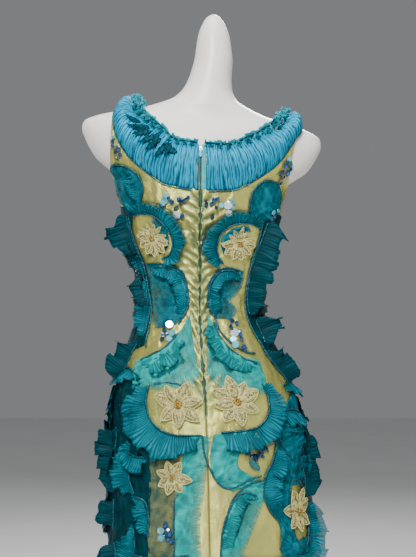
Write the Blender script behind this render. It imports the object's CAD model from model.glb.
"""The look of a prom dress on its form: gold satin, teal pleats and frills, lace flowers and sequins.

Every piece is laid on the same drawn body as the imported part: a turn round the body in degrees, 0 at the
centre back and 90 at the wearer's left, a height up the body, and a distance above the satin.
"""

import math  # noqa: E402
import random  # noqa: E402
from collections import namedtuple  # noqa: E402

import bmesh  # noqa: E402
import bpy  # noqa: E402
import numpy as np  # noqa: E402
from bpy.props import FloatProperty, FloatVectorProperty, IntProperty, PointerProperty  # noqa: E402
from mathutils import Matrix, Vector  # noqa: E402


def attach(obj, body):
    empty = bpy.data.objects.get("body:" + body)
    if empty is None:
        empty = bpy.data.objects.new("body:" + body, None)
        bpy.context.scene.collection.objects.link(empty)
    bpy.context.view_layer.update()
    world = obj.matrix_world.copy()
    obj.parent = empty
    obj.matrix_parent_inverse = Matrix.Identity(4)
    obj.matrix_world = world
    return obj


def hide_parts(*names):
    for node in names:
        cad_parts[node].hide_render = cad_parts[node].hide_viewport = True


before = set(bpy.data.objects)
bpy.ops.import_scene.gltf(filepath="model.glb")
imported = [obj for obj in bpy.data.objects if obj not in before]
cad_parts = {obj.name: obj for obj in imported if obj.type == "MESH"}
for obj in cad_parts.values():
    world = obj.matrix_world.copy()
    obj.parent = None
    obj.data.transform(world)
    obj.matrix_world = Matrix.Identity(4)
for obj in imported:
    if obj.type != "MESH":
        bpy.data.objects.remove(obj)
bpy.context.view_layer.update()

bl_info = {
    "name": "Prom Dress Look",
    "version": (1, 0, 0),
    "blender": (4, 5, 0),
    "location": "3D View > Sidebar > Dress",
    "description": "Cloth, frills, lace and studio for a prom dress on its form",
    "category": "Object",
}

# The drawn body: how far each section reaches from the middle line
Section = namedtuple("Section", "height half_width back front roundness")
HEM_HEIGHT, FOLD_TOP, FOLDS, FOLD_DEPTH = 0.012, 0.640, 8, 0.017
FORM_TOP = [
    Section(0.930, 0.1680, 0.1210, 0.1060, 2.20),
    Section(0.990, 0.1575, 0.1130, 0.1050, 2.20),
    Section(1.060, 0.1310, 0.0880, 0.1000, 2.20),
    Section(1.138, 0.1040, 0.0650, 0.0920, 2.20),
    Section(1.200, 0.1110, 0.0670, 0.0960, 2.20),
    Section(1.270, 0.1320, 0.0780, 0.1140, 2.25),
    Section(1.320, 0.1450, 0.0860, 0.1260, 2.30),
    Section(1.366, 0.1570, 0.0890, 0.1120, 2.20),
    Section(1.404, 0.2010, 0.0870, 0.0960, 2.00),
    Section(1.4325, 0.2185, 0.0820, 0.0840, 2.00),
    Section(1.456, 0.2270, 0.0750, 0.0740, 1.95),
    Section(1.469, 0.2240, 0.0690, 0.0680, 1.95),
    Section(1.481, 0.2030, 0.0630, 0.0620, 1.95),
    Section(1.490, 0.1720, 0.0590, 0.0580, 2.00),
    Section(1.499, 0.1320, 0.0570, 0.0550, 2.00),
    Section(1.512, 0.0920, 0.0560, 0.0500, 2.00),
    Section(1.528, 0.0600, 0.0530, 0.0440, 2.00),
    Section(1.548, 0.0455, 0.0480, 0.0390, 2.00),
    Section(1.575, 0.0390, 0.0430, 0.0350, 2.00),
    Section(1.609, 0.0355, 0.0380, 0.0330, 2.00),
    Section(1.649, 0.0295, 0.0310, 0.0280, 2.00),
    Section(1.675, 0.0190, 0.0200, 0.0180, 2.00),
    Section(1.684, 0.0120, 0.0120, 0.0115, 2.00),
    Section(1.689, 0.0040, 0.0040, 0.0040, 2.00),
]
FORM_LEGS = [
    Section(0.800, 0.1450, 0.1020, 0.0980, 2.20),
    Section(0.860, 0.1600, 0.1140, 0.1030, 2.20),
]
SKIRT = [
    Section(HEM_HEIGHT, 0.3200, 0.3050, 0.2700, 2.00),
    Section(0.180, 0.2700, 0.2480, 0.2200, 2.00),
    Section(0.350, 0.2280, 0.1960, 0.1740, 2.05),
    Section(0.500, 0.2020, 0.1640, 0.1460, 2.10),
    Section(0.660, 0.1860, 0.1420, 0.1260, 2.15),
    Section(0.800, 0.1760, 0.1290, 0.1130, 2.20),
]
Stance = namedtuple("Stance", "height sideways tilt")
STANCE_ROWS = [
    Stance(0.000, 0.0000, 0.0),
    Stance(0.500, -0.0060, 0.0),
    Stance(0.800, -0.0010, 0.0),
    Stance(0.950, 0.0040, 1.8),
    Stance(1.138, 0.0150, 1.2),
    Stance(1.320, 0.0140, 3.2),
    Stance(1.456, 0.0124, 4.5),
    Stance(1.528, 0.0030, 4.5),
    Stance(1.575, -0.0060, 4.5),
    Stance(1.609, -0.0110, 4.5),
    Stance(1.689, -0.0114, 4.5),
]
YokeRow = namedtuple("YokeRow", "level back_middle front_middle left_edge left_reach right_edge right_reach")
YOKE_ROWS = [
    YokeRow(0, 1.362, 1.362, 1.3620, 0.165, 1.3620, 0.160),
    YokeRow(1, 1.370, 1.362, 1.3850, 0.165, 1.3850, 0.160),
    YokeRow(2, 1.378, 1.364, 1.4040, 0.165, 1.4040, 0.162),
    YokeRow(3, 1.386, 1.367, 1.4310, 0.165, 1.4305, 0.166),
    YokeRow(4, 1.394, 1.370, 1.4550, 0.165, 1.4535, 0.171),
    YokeRow(5, 1.402, 1.373, 1.4740, 0.165, 1.4715, 0.175),
    YokeRow(6, 1.410, 1.377, 1.4870, 0.165, 1.4835, 0.178),
    YokeRow(7, 1.417, 1.381, 1.4922, 0.165, 1.4885, 0.179),
]
CollarRow = namedtuple("CollarRow", "way inner_turn inner_height outer_turn outer_height")
COLLAR_BACK_ROW = CollarRow(0, 0, 1.424, 0, 1.349)
COLLAR_FRONT_ROWS = [
    CollarRow(126, 151.2, 1.4535, 140, 1.425),
    CollarRow(144, 161.8, 1.418, 148, 1.380),
    CollarRow(162, 171.8, 1.394, 163, 1.338),
    CollarRow(180, 180, 1.3865, 180, 1.322),
]
LEFT_COLLAR = [
    COLLAR_BACK_ROW,
    CollarRow(18, 12.4, 1.4265, 22, 1.357),
    CollarRow(36, 21.3, 1.4475, 37, 1.388),
    CollarRow(54, 31.1, 1.466, 43, 1.425),
    CollarRow(72, 43.8, 1.4845, 47, 1.468),
    CollarRow(81, 61.5, 1.4952, 60, 1.486),
    CollarRow(90, 90, 1.4990, 90, 1.4935),
    CollarRow(99, 119.4, 1.4952, 124, 1.486),
    CollarRow(108, 137.7, 1.4825, 136.5, 1.465),
    *COLLAR_FRONT_ROWS,
]
RIGHT_COLLAR = [
    COLLAR_BACK_ROW,
    CollarRow(18, 13, 1.4250, 21, 1.355),
    CollarRow(36, 23.5, 1.4390, 36, 1.381),
    CollarRow(54, 33.5, 1.4580, 43, 1.414),
    CollarRow(72, 44.5, 1.4760, 49.5, 1.458),
    CollarRow(81, 62, 1.4890, 62, 1.4790),
    CollarRow(90, 90, 1.4945, 90, 1.4885),
    CollarRow(99, 118, 1.4895, 123, 1.4790),
    CollarRow(108, 136, 1.4785, 136.5, 1.463),
    *COLLAR_FRONT_ROWS,
]
SATIN_FACE = 0.0043
SATIN_WALL, SHEER_WALL, LACE_WALL, TAPE_WALL = 0.0008, 0.0003, 0.0007, 0.0010
WELD_DISTANCE = 1e-5
ARMPIT_HEIGHT, STRAP_START = 1.362, 0.76
ZIP_BOTTOM, ZIP_TOP, HALF_ZIP, HALF_SEAM = 0.938, 1.430, 0.0015, 0.00015

# The front is guessed, so its rows are drawn for the wearer's left and mirrored
SIDES = (("left", 1), ("right", -1))


def mirrored(line, mirror):
    return tuple((mirror * turn, height) for turn, height in line)


# Each frill is sewn along a line of (turn, height) places. Its widths run to the left of someone who
# walks the line, seen from outside, and a negative one falls to the right.
Frill = namedtuple("Frill", "name width_start width_middle width_end lift waves line look",
                   defaults=("frill",))
FRILLS = [
    Frill("armhole_left", -0.016, -0.034, -0.028, 0.008, 2,
          ((47, 1.386), (42, 1.370), (40, 1.348), (44, 1.322))),
    Frill("flower_curl_left", 0.018, 0.024, 0.018, 0.008, 5,
          ((55, 1.300), (44, 1.303), (33, 1.299), (24, 1.281), (20, 1.256), (24, 1.233), (33, 1.223))),
    Frill("flower_curl_right", -0.018, -0.024, -0.018, 0.008, 5,
          ((-50, 1.287), (-36, 1.295), (-22, 1.29), (-14, 1.272), (-12, 1.25), (-14, 1.231), (-19, 1.217))),
    Frill("waist_curl_left", -0.020, -0.024, -0.018, 0.007, 4,
          ((44, 1.208), (30, 1.208), (17, 1.198), (11, 1.170), (10, 1.140), (15, 1.112))),
    Frill("waist_curl_right", 0.014, 0.020, 0.016, 0.007, 4,
          ((-40, 1.19), (-30, 1.204), (-19, 1.204), (-11, 1.19), (-7.5, 1.165), (-8, 1.138), (-13, 1.116))),
    Frill("back_curl_left", -0.030, -0.040, -0.028, 0.007, 3,
          ((48, 1.032), (37, 1.044), (26, 1.060), (17, 1.083)), "bright_frill"),
    Frill("back_curl_right", -0.018, -0.030, -0.026, 0.008, 4,
          ((-12, 1.106), (-13, 1.085), (-19, 1.061), (-29, 1.042), (-40, 1.032)), "bright_frill"),
    Frill("hip_curl_left", -0.030, -0.050, -0.044, 0.012, 6,
          ((36, 0.990), (37, 0.955), (31, 0.922), (19, 0.906), (2, 0.906))),
    Frill("hip_curl_right", -0.046, -0.030, -0.010, 0.012, 5,
          ((-7, 0.912), (-18, 0.915), (-30, 0.922), (-39, 0.945), (-41, 0.975), (-38, 0.997))),
    Frill("seat_layer_left", -0.020, -0.028, -0.020, 0.007, 3,
          ((60, 0.880), (50, 0.866), (42, 0.862), (35, 0.863))),
    Frill("side_left_high", -0.018, -0.018, -0.012, 0.034, 3, ((68, 1.300), (67, 1.270), (65, 1.236))),
    Frill("side_left_waist", -0.014, -0.016, -0.014, 0.020, 2, ((63, 1.194), (60, 1.164), (59, 1.136))),
    Frill("side_left_low", -0.014, -0.018, -0.012, 0.023, 2, ((58, 1.064), (64, 1.030), (71, 0.990))),
    Frill("hip_left_high", -0.014, -0.020, -0.016, 0.024, 4,
          ((69, 0.908), (70, 0.870), (71, 0.830), (72, 0.792))),
    Frill("hip_left_low", -0.014, -0.018, -0.014, 0.022, 2, ((71, 0.778), (69, 0.750), (70, 0.722))),
    Frill("thigh_left", -0.016, -0.020, -0.016, 0.024, 2, ((66, 0.700), (63, 0.672), (65, 0.642))),
    Frill("side_right_high", 0.018, 0.018, 0.010, 0.030, 6,
          ((-56, 1.300), (-53, 1.260), (-51, 1.214), (-50, 1.166), (-52, 1.122))),
    Frill("waist_plume_right", 0.014, 0.018, 0.014, 0.038, 2, ((-60, 1.108), (-61, 1.090), (-61, 1.070))),
    Frill("side_right_low", 0.014, 0.018, 0.010, 0.022, 3, ((-54, 1.052), (-61, 1.024), (-76, 0.990))),
    Frill("hip_right_high", -0.034, -0.036, -0.014, 0.018, 4,
          ((-49, 0.942), (-60, 0.950), (-72, 0.948), (-84, 0.938))),
    Frill("hip_right_line", 0.022, 0.030, 0.022, 0.009, 5,
          ((-43, 0.886), (-39, 0.858), (-33, 0.832), (-31, 0.802), (-34, 0.772), (-40, 0.750))),
    Frill("hip_right_low", 0.014, 0.018, 0.016, 0.024, 4,
          ((-77, 0.900), (-78, 0.860), (-78, 0.820), (-77, 0.784))),
    Frill("thigh_right", 0.014, 0.024, 0.024, 0.024, 4,
          ((-81, 0.764), (-81, 0.732), (-77, 0.702), (-67, 0.682), (-54, 0.686))),
    Frill("swirl_right", 0.014, 0.024, 0.024, 0.010, 4,
          ((-26, 0.796), (-19, 0.804), (-13, 0.792), (-9, 0.766), (-6, 0.735), (-5, 0.700)), "bright_frill"),
    Frill("thigh_curl_left", -0.018, -0.024, -0.020, 0.008, 3,
          ((46, 0.792), (37, 0.784), (34, 0.756), (34, 0.722))),
    Frill("low_left", 0.024, 0.030, 0.024, 0.010, 3, ((10, 0.694), (24, 0.688), (40, 0.686), (50, 0.692))),
    Frill("low_right", -0.024, -0.030, -0.024, 0.010, 2, ((-16, 0.690), (-30, 0.684), (-44, 0.684))),
]
FRONT_FRILLS = [
    Frill("bust", -0.018, -0.024, -0.018, 0.008, 5,
          ((122, 1.290), (138, 1.300), (154, 1.290), (161, 1.262), (156, 1.236), (144, 1.222))),
    Frill("waist", -0.020, -0.026, -0.020, 0.008, 3,
          ((168, 1.150), (162, 1.120), (148, 1.100), (132, 1.094))),
    Frill("hip", 0.030, 0.046, 0.036, 0.012, 5,
          ((140, 0.996), (136, 0.960), (143, 0.926), (156, 0.906), (174, 0.900))),
]
for row in FRONT_FRILLS:
    for side, mirror in SIDES:
        FRILLS.append(row._replace(name=f"front_{row.name}_{side}", width_start=mirror * row.width_start,
                                   width_middle=mirror * row.width_middle, width_end=mirror * row.width_end,
                                   line=mirrored(row.line, mirror)))

# Finer frills that lie on the sheer layers and are left out of the solids
FINE_FRILLS = [
    Frill("fall_right", 0.036, 0.052, 0.040, 0.010, 6,
          ((-46, 0.938), (-46, 0.905), (-51, 0.876), (-60, 0.850))),
    Frill("fall_right_low", 0.026, 0.036, 0.028, 0.008, 5,
          ((-72, 0.860), (-74, 0.830), (-78, 0.800), (-82, 0.776))),
    Frill("fall_left", -0.026, -0.036, -0.028, 0.008, 5,
          ((50, 0.884), (52, 0.850), (50, 0.820), (46, 0.796))),
    Frill("fall_left_low", -0.024, -0.034, -0.026, 0.008, 4,
          ((46, 0.736), (44, 0.706), (46, 0.676), (50, 0.652))),
    Frill("rib_left", -0.022, -0.030, -0.022, 0.008, 5, ((64, 1.290), (66, 1.262), (63, 1.230), (59, 1.196))),
    Frill("rib_left_low", -0.022, -0.030, -0.022, 0.008, 5,
          ((57, 1.190), (55, 1.150), (53, 1.110), (52, 1.076))),
    Frill("rib_right", 0.022, 0.030, 0.022, 0.008, 7,
          ((-60, 1.290), (-58, 1.240), (-57, 1.190), (-56, 1.140))),
    Frill("side_left", 0.024, 0.034, 0.026, 0.008, 6, ((96, 0.980), (104, 0.930), (98, 0.880), (102, 0.830))),
    Frill("side_right", -0.024, -0.034, -0.026, 0.008, 6,
          ((-96, 0.970), (-104, 0.920), (-98, 0.870), (-102, 0.820))),
    Frill("end_left", -0.026, -0.036, -0.026, 0.008, 9,
          ((106, 0.668), (92, 0.656), (76, 0.664), (58, 0.652), (44, 0.660), (30, 0.650), (16, 0.658),
           (3, 0.652))),
    Frill("end_right", 0.026, 0.036, 0.026, 0.008, 9,
          ((-108, 0.664), (-94, 0.654), (-78, 0.662), (-60, 0.652), (-42, 0.658), (-26, 0.650), (-12, 0.656),
           (-3, 0.652))),
    Frill("rib_side_left", 0.024, 0.034, 0.024, 0.008, 6,
          ((94, 1.282), (100, 1.236), (92, 1.190), (98, 1.140), (88, 1.092))),
    Frill("rib_side_right", -0.024, -0.034, -0.024, 0.008, 6,
          ((-92, 1.282), (-100, 1.236), (-92, 1.190), (-98, 1.130), (-86, 1.066))),
    Frill("rib_back_left", 0.020, 0.028, 0.020, 0.008, 4,
          ((78, 1.276), (82, 1.240), (76, 1.196), (80, 1.150))),
    Frill("rib_back_right", -0.020, -0.028, -0.020, 0.008, 4,
          ((-76, 1.270), (-82, 1.230), (-76, 1.180), (-80, 1.120))),
    Frill("hip_side_left", 0.024, 0.036, 0.026, 0.008, 7,
          ((78, 0.990), (86, 0.940), (80, 0.880), (88, 0.820), (84, 0.760), (92, 0.704))),
    Frill("hip_side_right", -0.024, -0.034, -0.026, 0.008, 4,
          ((-88, 0.930), (-94, 0.880), (-88, 0.830), (-94, 0.780))),
    Frill("thigh_side_left", 0.024, 0.034, 0.026, 0.008, 4,
          ((104, 0.800), (98, 0.760), (104, 0.720), (98, 0.680))),
    Frill("thigh_side_right", -0.024, -0.034, -0.026, 0.008, 4,
          ((-104, 0.790), (-98, 0.750), (-104, 0.710), (-98, 0.676))),
    Frill("top_left", 0.022, 0.030, 0.022, 0.008, 5, ((48, 1.004), (62, 1.016), (80, 1.006), (98, 1.010))),
    Frill("top_right", -0.022, -0.030, -0.022, 0.008, 5,
          ((-62, 0.992), (-76, 1.000), (-90, 0.994), (-104, 0.998))),
]
FRILL_CURVE = 1.4
FRILL_WAVE = 0.007
VEIL_STEP = 0.0038
BRAID_STEP, BRAID_RADIUS, BRAID_LIFT = 0.005, 0.0019, 0.0030

# Sheer organza laid flat on the satin between two lines of places
Veil = namedtuple("Veil", "name above first second fades look bow", defaults=(False, "veil", 0.0))
VEILS = [
    Veil("shoulder_left", 0.0012, ((47, 1.386), (42, 1.370), (40, 1.348), (44, 1.322), (47, 1.308)),
         ((60, 1.392), (76, 1.376), (84, 1.350), (76, 1.324), (58, 1.304))),
    Veil("shoulder_right", 0.0012, ((-34, 1.316), (-33.5, 1.342), (-38, 1.366), (-45, 1.379), (-57, 1.377)),
         ((-36, 1.308), (-50, 1.304), (-62, 1.308), (-72, 1.322), (-72, 1.352))),
    Veil("ribs_left", 0.0010, ((56, 1.304), (62, 1.270), (58, 1.226), (52, 1.180), (50, 1.120), (48, 1.060)),
         ((104, 1.298), (120, 1.268), (108, 1.228), (118, 1.184), (106, 1.124), (92, 1.066)), False,
         "dark_veil", 0.016),
    Veil("flower_left", 0.0010, ((26, 1.292), (23, 1.270), (24, 1.248), (32, 1.232), (44, 1.226)),
         ((36, 1.296), (36, 1.280), (37, 1.262), (40, 1.246), (50, 1.232)), True),
    Veil("flower_right", 0.0010, ((-36, 1.290), (-24, 1.286), (-16, 1.270), (-15, 1.250), (-19, 1.232)),
         ((-40, 1.280), (-34, 1.276), (-30, 1.264), (-28, 1.250), (-29, 1.238)), True),
    Veil("waist_left", 0.0016, ((48, 1.214), (28, 1.213), (15, 1.200), (11, 1.165), (11, 1.132), (20, 1.100)),
         ((54, 1.214), (54, 1.200), (54, 1.180), (52, 1.150), (50, 1.120), (42, 1.090)), True),
    Veil("waist_right", 0.0012, ((-34, 1.208), (-20, 1.208), (-10, 1.190), (-7, 1.160), (-8, 1.134),
                                 (-14, 1.112)),
         ((-42, 1.205), (-42, 1.180), (-36, 1.160), (-30, 1.148), (-36, 1.130), (-30, 1.112)), True),
    Veil("ribs_right", 0.0010, ((-50, 1.306), (-50, 1.260), (-48, 1.200), (-47, 1.140), (-51, 1.080),
                                (-57, 1.030)),
         ((-104, 1.298), (-120, 1.258), (-108, 1.205), (-118, 1.146), (-106, 1.086), (-92, 1.034)), False,
         "dark_veil",
         0.016),
    Veil("seat_left", 0.0014, ((54, 1.028), (37, 1.046), (26, 1.062), (15, 1.090), (8, 1.120)),
         ((52, 0.980), (34, 0.982), (20, 0.986), (8, 0.992), (1.5, 1.010)), True, "bright_veil"),
    Veil("seat_right", 0.0014, ((-6, 1.122), (-13, 1.085), (-20, 1.060), (-30, 1.044), (-44, 1.036)),
         ((-1.5, 1.010), (-8, 0.992), (-18, 0.986), (-28, 0.982), (-42, 0.980)), True, "bright_veil"),
    Veil("hip_left", 0.0008, ((42, 1.004), (44, 0.960), (38, 0.900), (33, 0.850), (33, 0.760), (33, 0.640)),
         ((100, 1.006), (116, 0.964), (106, 0.912), (120, 0.860), (106, 0.780), (100, 0.650)), False,
         "dark_veil", 0.014),
    Veil("hip_right", 0.0008, ((-44, 0.936), (-44, 0.900), (-40, 0.860), (-35, 0.832), (-36, 0.818)),
         ((-100, 0.994), (-118, 0.950), (-108, 0.900), (-118, 0.850), (-110, 0.818)), False, "veil", 0.012),
    Veil("almond_inner", 0.0008, ((-36, 0.818), (-33, 0.800), (-34, 0.772), (-40, 0.750), (-42, 0.725),
                                  (-40, 0.698)),
         ((-58, 0.818), (-52, 0.800), (-50.5, 0.760), (-54, 0.722), (-60, 0.698), (-64, 0.690)), False,
         "veil"),
    Veil("almond_outer", 0.0008, ((-58, 0.818), (-68, 0.806), (-75, 0.760), (-72, 0.715), (-64, 0.690)),
         ((-110, 0.818), (-118, 0.790), (-110, 0.760), (-116, 0.722), (-108, 0.692)), False, "dark_veil"),
    Veil("seat_middle", 0.0010, ((9, 0.905), (14, 0.850), (17, 0.800), (18, 0.740), (18, 0.650)),
         ((-2, 0.905), (0, 0.860), (2, 0.800), (4, 0.740), (3, 0.650)), True, "bright_veil"),
    Veil("thigh_patch", 0.0008, ((34, 0.880), (34, 0.820), (34, 0.740), (34, 0.660)),
         ((14, 0.880), (15, 0.820), (16, 0.740), (16, 0.660)), True, "tan_veil"),
    Veil("seat_gather", 0.0012, ((-3, 0.908), (-1, 0.860), (-4, 0.820), (-12, 0.806)),
         ((-32, 0.918), (-20, 0.888), (-16, 0.852), (-28, 0.826)), False, "bright_veil"),
    Veil("thigh_swirl", 0.0010, ((-30, 0.824), (-22, 0.818), (-13, 0.797), (-9, 0.768), (-6, 0.735),
                                 (-5, 0.700), (-4, 0.650)),
         ((-34, 0.800), (-31, 0.784), (-27, 0.762), (-23, 0.736), (-19, 0.708), (-16, 0.680), (-13, 0.650)),
         True,
         "bright_veil"),
    Veil("thigh_right", 0.0012, ((-40, 0.700), (-43, 0.680), (-44, 0.660), (-42, 0.640)),
         ((-108, 0.692), (-116, 0.676), (-108, 0.660), (-100, 0.640)), False, "veil", 0.012),
]
FRONT_VEILS = [
    Veil("bust", 0.0010, ((122, 1.290), (138, 1.300), (154, 1.290), (161, 1.262), (156, 1.236), (144, 1.222)),
         ((122, 1.268), (132, 1.278), (145, 1.274), (150, 1.260), (146, 1.244), (136, 1.236)), True),
    Veil("waist", 0.0012, ((170, 1.152), (162, 1.120), (148, 1.100), (130, 1.092)),
         ((156, 1.200), (144, 1.176), (130, 1.160), (112, 1.150)), True, "bright_veil"),
    Veil("hip", 0.0010, ((140, 0.998), (134, 0.960), (142, 0.926), (156, 0.904), (176, 0.898)),
         ((112, 0.980), (104, 0.920), (112, 0.840), (140, 0.800), (170, 0.800)), True),
    Veil("thigh", 0.0014, ((168, 0.812), (158, 0.770), (156, 0.720), (149, 0.668)),
         ((140, 0.800), (128, 0.760), (128, 0.710), (141, 0.660)), True, "bright_veil"),
]
for row in FRONT_VEILS:
    for side, mirror in SIDES:
        VEILS.append(row._replace(name=f"front_{row.name}_{side}", first=mirrored(row.first, mirror),
                                  second=mirrored(row.second, mirror)))

# Corded braid along lines that carry no frill, or beside one
BRAIDS = [
    ((47, 1.308), (44, 1.322), (40, 1.348), (42, 1.370), (47, 1.386), (56, 1.393)),
    ((-36, 1.308), (-34, 1.316), (-33.5, 1.342), (-38, 1.366), (-45, 1.379), (-57, 1.377)),
    ((-41, 0.912), (-43, 0.886), (-39, 0.858), (-33, 0.832), (-31, 0.802), (-34, 0.772), (-40, 0.750)),
    ((-30, 0.824), (-22, 0.818), (-13, 0.797), (-9, 0.768), (-6, 0.735), (-5, 0.700), (-4, 0.650)),
    ((2, 0.906), (1, 0.870), (-3, 0.830), (-10, 0.812), (-22, 0.826), (-30, 0.832)),
    ((-52, 0.800), (-58, 0.818), (-68, 0.806), (-75, 0.760), (-72, 0.710), (-64, 0.690), (-55, 0.714),
     (-51, 0.760), (-52, 0.800)),
    ((63, 1.300), (64, 1.262), (60, 1.220), (56, 1.170), (50, 1.110), (46, 1.056)),
    ((-50, 1.300), (-50, 1.240), (-48, 1.180), (-48, 1.120), (-54, 1.060), (-66, 1.016), (-88, 0.996)),
    ((52, 1.214), (30, 1.214), (15, 1.202), (10, 1.168), (10, 1.134), (18, 1.100)),
    ((-36, 1.206), (-20, 1.210), (-9, 1.190), (-6, 1.160), (-7, 1.132), (-13, 1.110), (-12, 1.080)),
    ((17.5, 0.794), (18, 0.730), (18, 0.650)),
    ((-13, 1.106), (-16, 1.085), (-24, 1.065), (-34, 1.052), (-42, 1.050)),
    ((8, 0.990), (20, 0.996), (32, 0.992)),
    *(row.second for row in VEILS if row.name in ("ribs_left", "ribs_right", "hip_left")),
    ((-100, 0.994), (-118, 0.950), (-108, 0.900), (-118, 0.850), (-110, 0.818), (-118, 0.790), (-110, 0.760),
     (-116, 0.722), (-108, 0.692), (-116, 0.676), (-108, 0.660), (-100, 0.640)),
    *(mirrored(FRONT_VEILS[-1].first, mirror) for _, mirror in SIDES),
]

Flower = namedtuple("Flower", "name turn height radius spin petals rounds")
FLOWERS = [
    Flower("shoulder_left", 38, 1.262, 0.033, 15, 12, 2),
    Flower("shoulder_right", -30, 1.258, 0.034, 0, 12, 2),
    Flower("seat_left", 15, 0.958, 0.045, 10, 7, 1),
    Flower("seat_right", -18, 0.967, 0.045, 30, 8, 1),
    Flower("thigh_left", 19, 0.830, 0.034, 25, 7, 1),
    Flower("thigh_right", -61, 0.759, 0.042, 8, 7, 1),
]
FRONT_FLOWERS = [
    Flower("bust", 137, 1.262, 0.028, 12, 12, 2),
    Flower("hip", 158, 0.952, 0.043, 20, 8, 1),
    Flower("thigh", 138, 0.768, 0.036, 5, 7, 1),
]
for row in FRONT_FLOWERS:
    for side, mirror in SIDES:
        FLOWERS.append(row._replace(name=f"front_{row.name}_{side}", turn=mirror * row.turn,
                                    spin=mirror * row.spin))

# Sequins, crystals and organza petals, each at its own place, with the radius in millimetres
Sequin = namedtuple("Sequin", "kind turn height radius")
SEQUINS = [Sequin(*row) for row in (
    ("disc", 22.5, 1.328, 6.6), ("disc", 21, 1.336, 5.1), ("disc", 24, 1.322, 5.5),
    ("crystal", 17, 1.326, 3.6),
    ("crystal", 12.5, 1.331, 3.6), ("drop", 8, 1.330, 4.0), ("drop", 10.5, 1.324, 4.0),
    ("crystal", 6.5, 1.335, 2.9),
    ("pale", 14.5, 1.303, 6.6), ("crystal", 11, 1.302, 4.0), ("drop", 14.5, 1.315, 3.3),
    ("crystal", 19.5, 1.333, 2.7),
    ("pale", -16.5, 1.325, 7.7), ("pale", -17.5, 1.311, 5.8), ("disc", -12, 1.325, 4.7),
    ("crystal", -7.5, 1.334, 4.0),
    ("crystal", -6, 1.325, 4.0), ("drop", -2.5, 1.326, 4.0), ("crystal", -9.5, 1.335, 3.3),
    ("drop", -7, 1.303, 3.6),
    ("disc", -19.5, 1.332, 4.4), ("drop", -9, 1.320, 3.3), ("disc", -20.5, 1.321, 3.6),
    ("disc", 46, 1.436, 3.3), ("crystal", 47.5, 1.428, 3.0), ("crystal", 45, 1.417, 3.7),
    ("drop", 48, 1.412, 3.7),
    ("crystal", 45.5, 1.407, 3.3), ("drop", 49.5, 1.401, 3.3), ("disc", 45, 1.423, 2.8),
    ("crystal", 48.5, 1.420, 2.8),
    ("crystal", -48.5, 1.408, 4.1), ("drop", -49, 1.396, 4.4), ("crystal", -53, 1.397, 4.1),
    ("drop", -53, 1.403, 3.7),
    ("drop", -53, 1.388, 4.1), ("drop", -56, 1.380, 3.5), ("disc", -48.5, 1.421, 4.1),
    ("drop", -47.5, 1.414, 3.7),
    ("petal", -51, 1.413, 6.0), ("disc", -60, 1.320, 4.5), ("drop", -60, 1.309, 4.8),
    ("disc", -67, 1.325, 3.5),
    ("crystal", -63, 1.314, 3.2), ("drop", -59, 1.301, 3.3), ("pale", 76, 1.190, 6.1),
    ("disc", 74, 1.205, 2.8),
    ("pale", 77, 1.202, 3.4), ("disc", 80, 1.192, 3.0),
    ("pale", 25.5, 1.098, 7.0), ("disc", 22, 1.083, 6.2), ("disc", 24, 1.073, 5.9),
    ("crystal", 31.5, 1.097, 3.5),
    ("crystal", 30, 1.087, 3.5), ("crystal", 26.5, 1.081, 3.1), ("drop", 31, 1.073, 3.7),
    ("crystal", 31, 1.081, 2.8),
    ("crystal", -28, 1.108, 3.5), ("crystal", -32.5, 1.103, 3.7), ("crystal", -25.5, 1.099, 2.9),
    ("pale", -27.5, 1.086, 7.2), ("disc", -24.5, 1.074, 6.4), ("disc", -25, 1.065, 6.9),
    ("crystal", -33, 1.089, 3.7),
    ("crystal", -32.5, 1.075, 3.9), ("crystal", -32.5, 1.063, 3.8), ("crystal", -32.5, 1.082, 2.9),
    ("crystal", -34, 1.059, 3.1), ("crystal", -26.5, 1.094, 2.8),
    ("crystal", -22, 0.875, 4.0), ("crystal", -28.5, 0.886, 4.0), ("drop", -31, 0.880, 5.4),
    ("drop", -34, 0.883, 5.1),
    ("drop", -29, 0.872, 5.0), ("drop", -26.5, 0.866, 4.7), ("petal", -25.5, 0.853, 9.0),
    ("petal", -20.5, 0.882, 8.0),
    ("petal", -27.5, 0.900, 8.0), ("petal", -23.5, 0.895, 7.5), ("petal", -31.5, 0.894, 7.5),
    ("crystal", -24, 0.869, 2.9),
    ("crystal", -31.5, 0.868, 2.9),
    ("crystal", 23, 0.747, 4.3), ("disc", 25.5, 0.735, 6.1), ("disc", 25.5, 0.723, 5.9),
    ("crystal", 21, 0.738, 3.6),
    ("crystal", 20, 0.731, 3.8), ("crystal", 22, 0.720, 3.4), ("crystal", 19.5, 0.719, 3.7),
    ("crystal", 22.5, 0.729, 2.9),
)]
FRONT_SPOTS = [(150, 1.322), (158, 1.070), (160, 0.820)]
FRONT_GROUP = [("pale", 2, 0.006, 6.6), ("disc", 0, -0.007, 6.2), ("disc", -3, -0.001, 5.4),
               ("crystal", 5, 0.010, 3.6),
               ("crystal", 5, -0.002, 3.6), ("drop", 5, -0.012, 3.8), ("crystal", -2, 0.012, 3.2),
               ("drop", -5, -0.012, 3.6)]
for spot_turn, spot_height in FRONT_SPOTS:
    for _, mirror in SIDES:
        SEQUINS += [Sequin(kind, mirror * (spot_turn + across), spot_height + up, radius)
                    for kind, across, up, radius in FRONT_GROUP]


def table(rows):
    """The columns of a table as arrays."""
    return {field: np.array([getattr(row, field) for row in rows]) for field in rows[0]._fields}


DRESS = table(SKIRT + FORM_TOP)
FORM = table(FORM_LEGS + FORM_TOP)
STANCE = table(STANCE_ROWS)
YOKE = table(YOKE_ROWS)
COLLARS = {1: table(LEFT_COLLAR), -1: table(RIGHT_COLLAR)}


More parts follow.
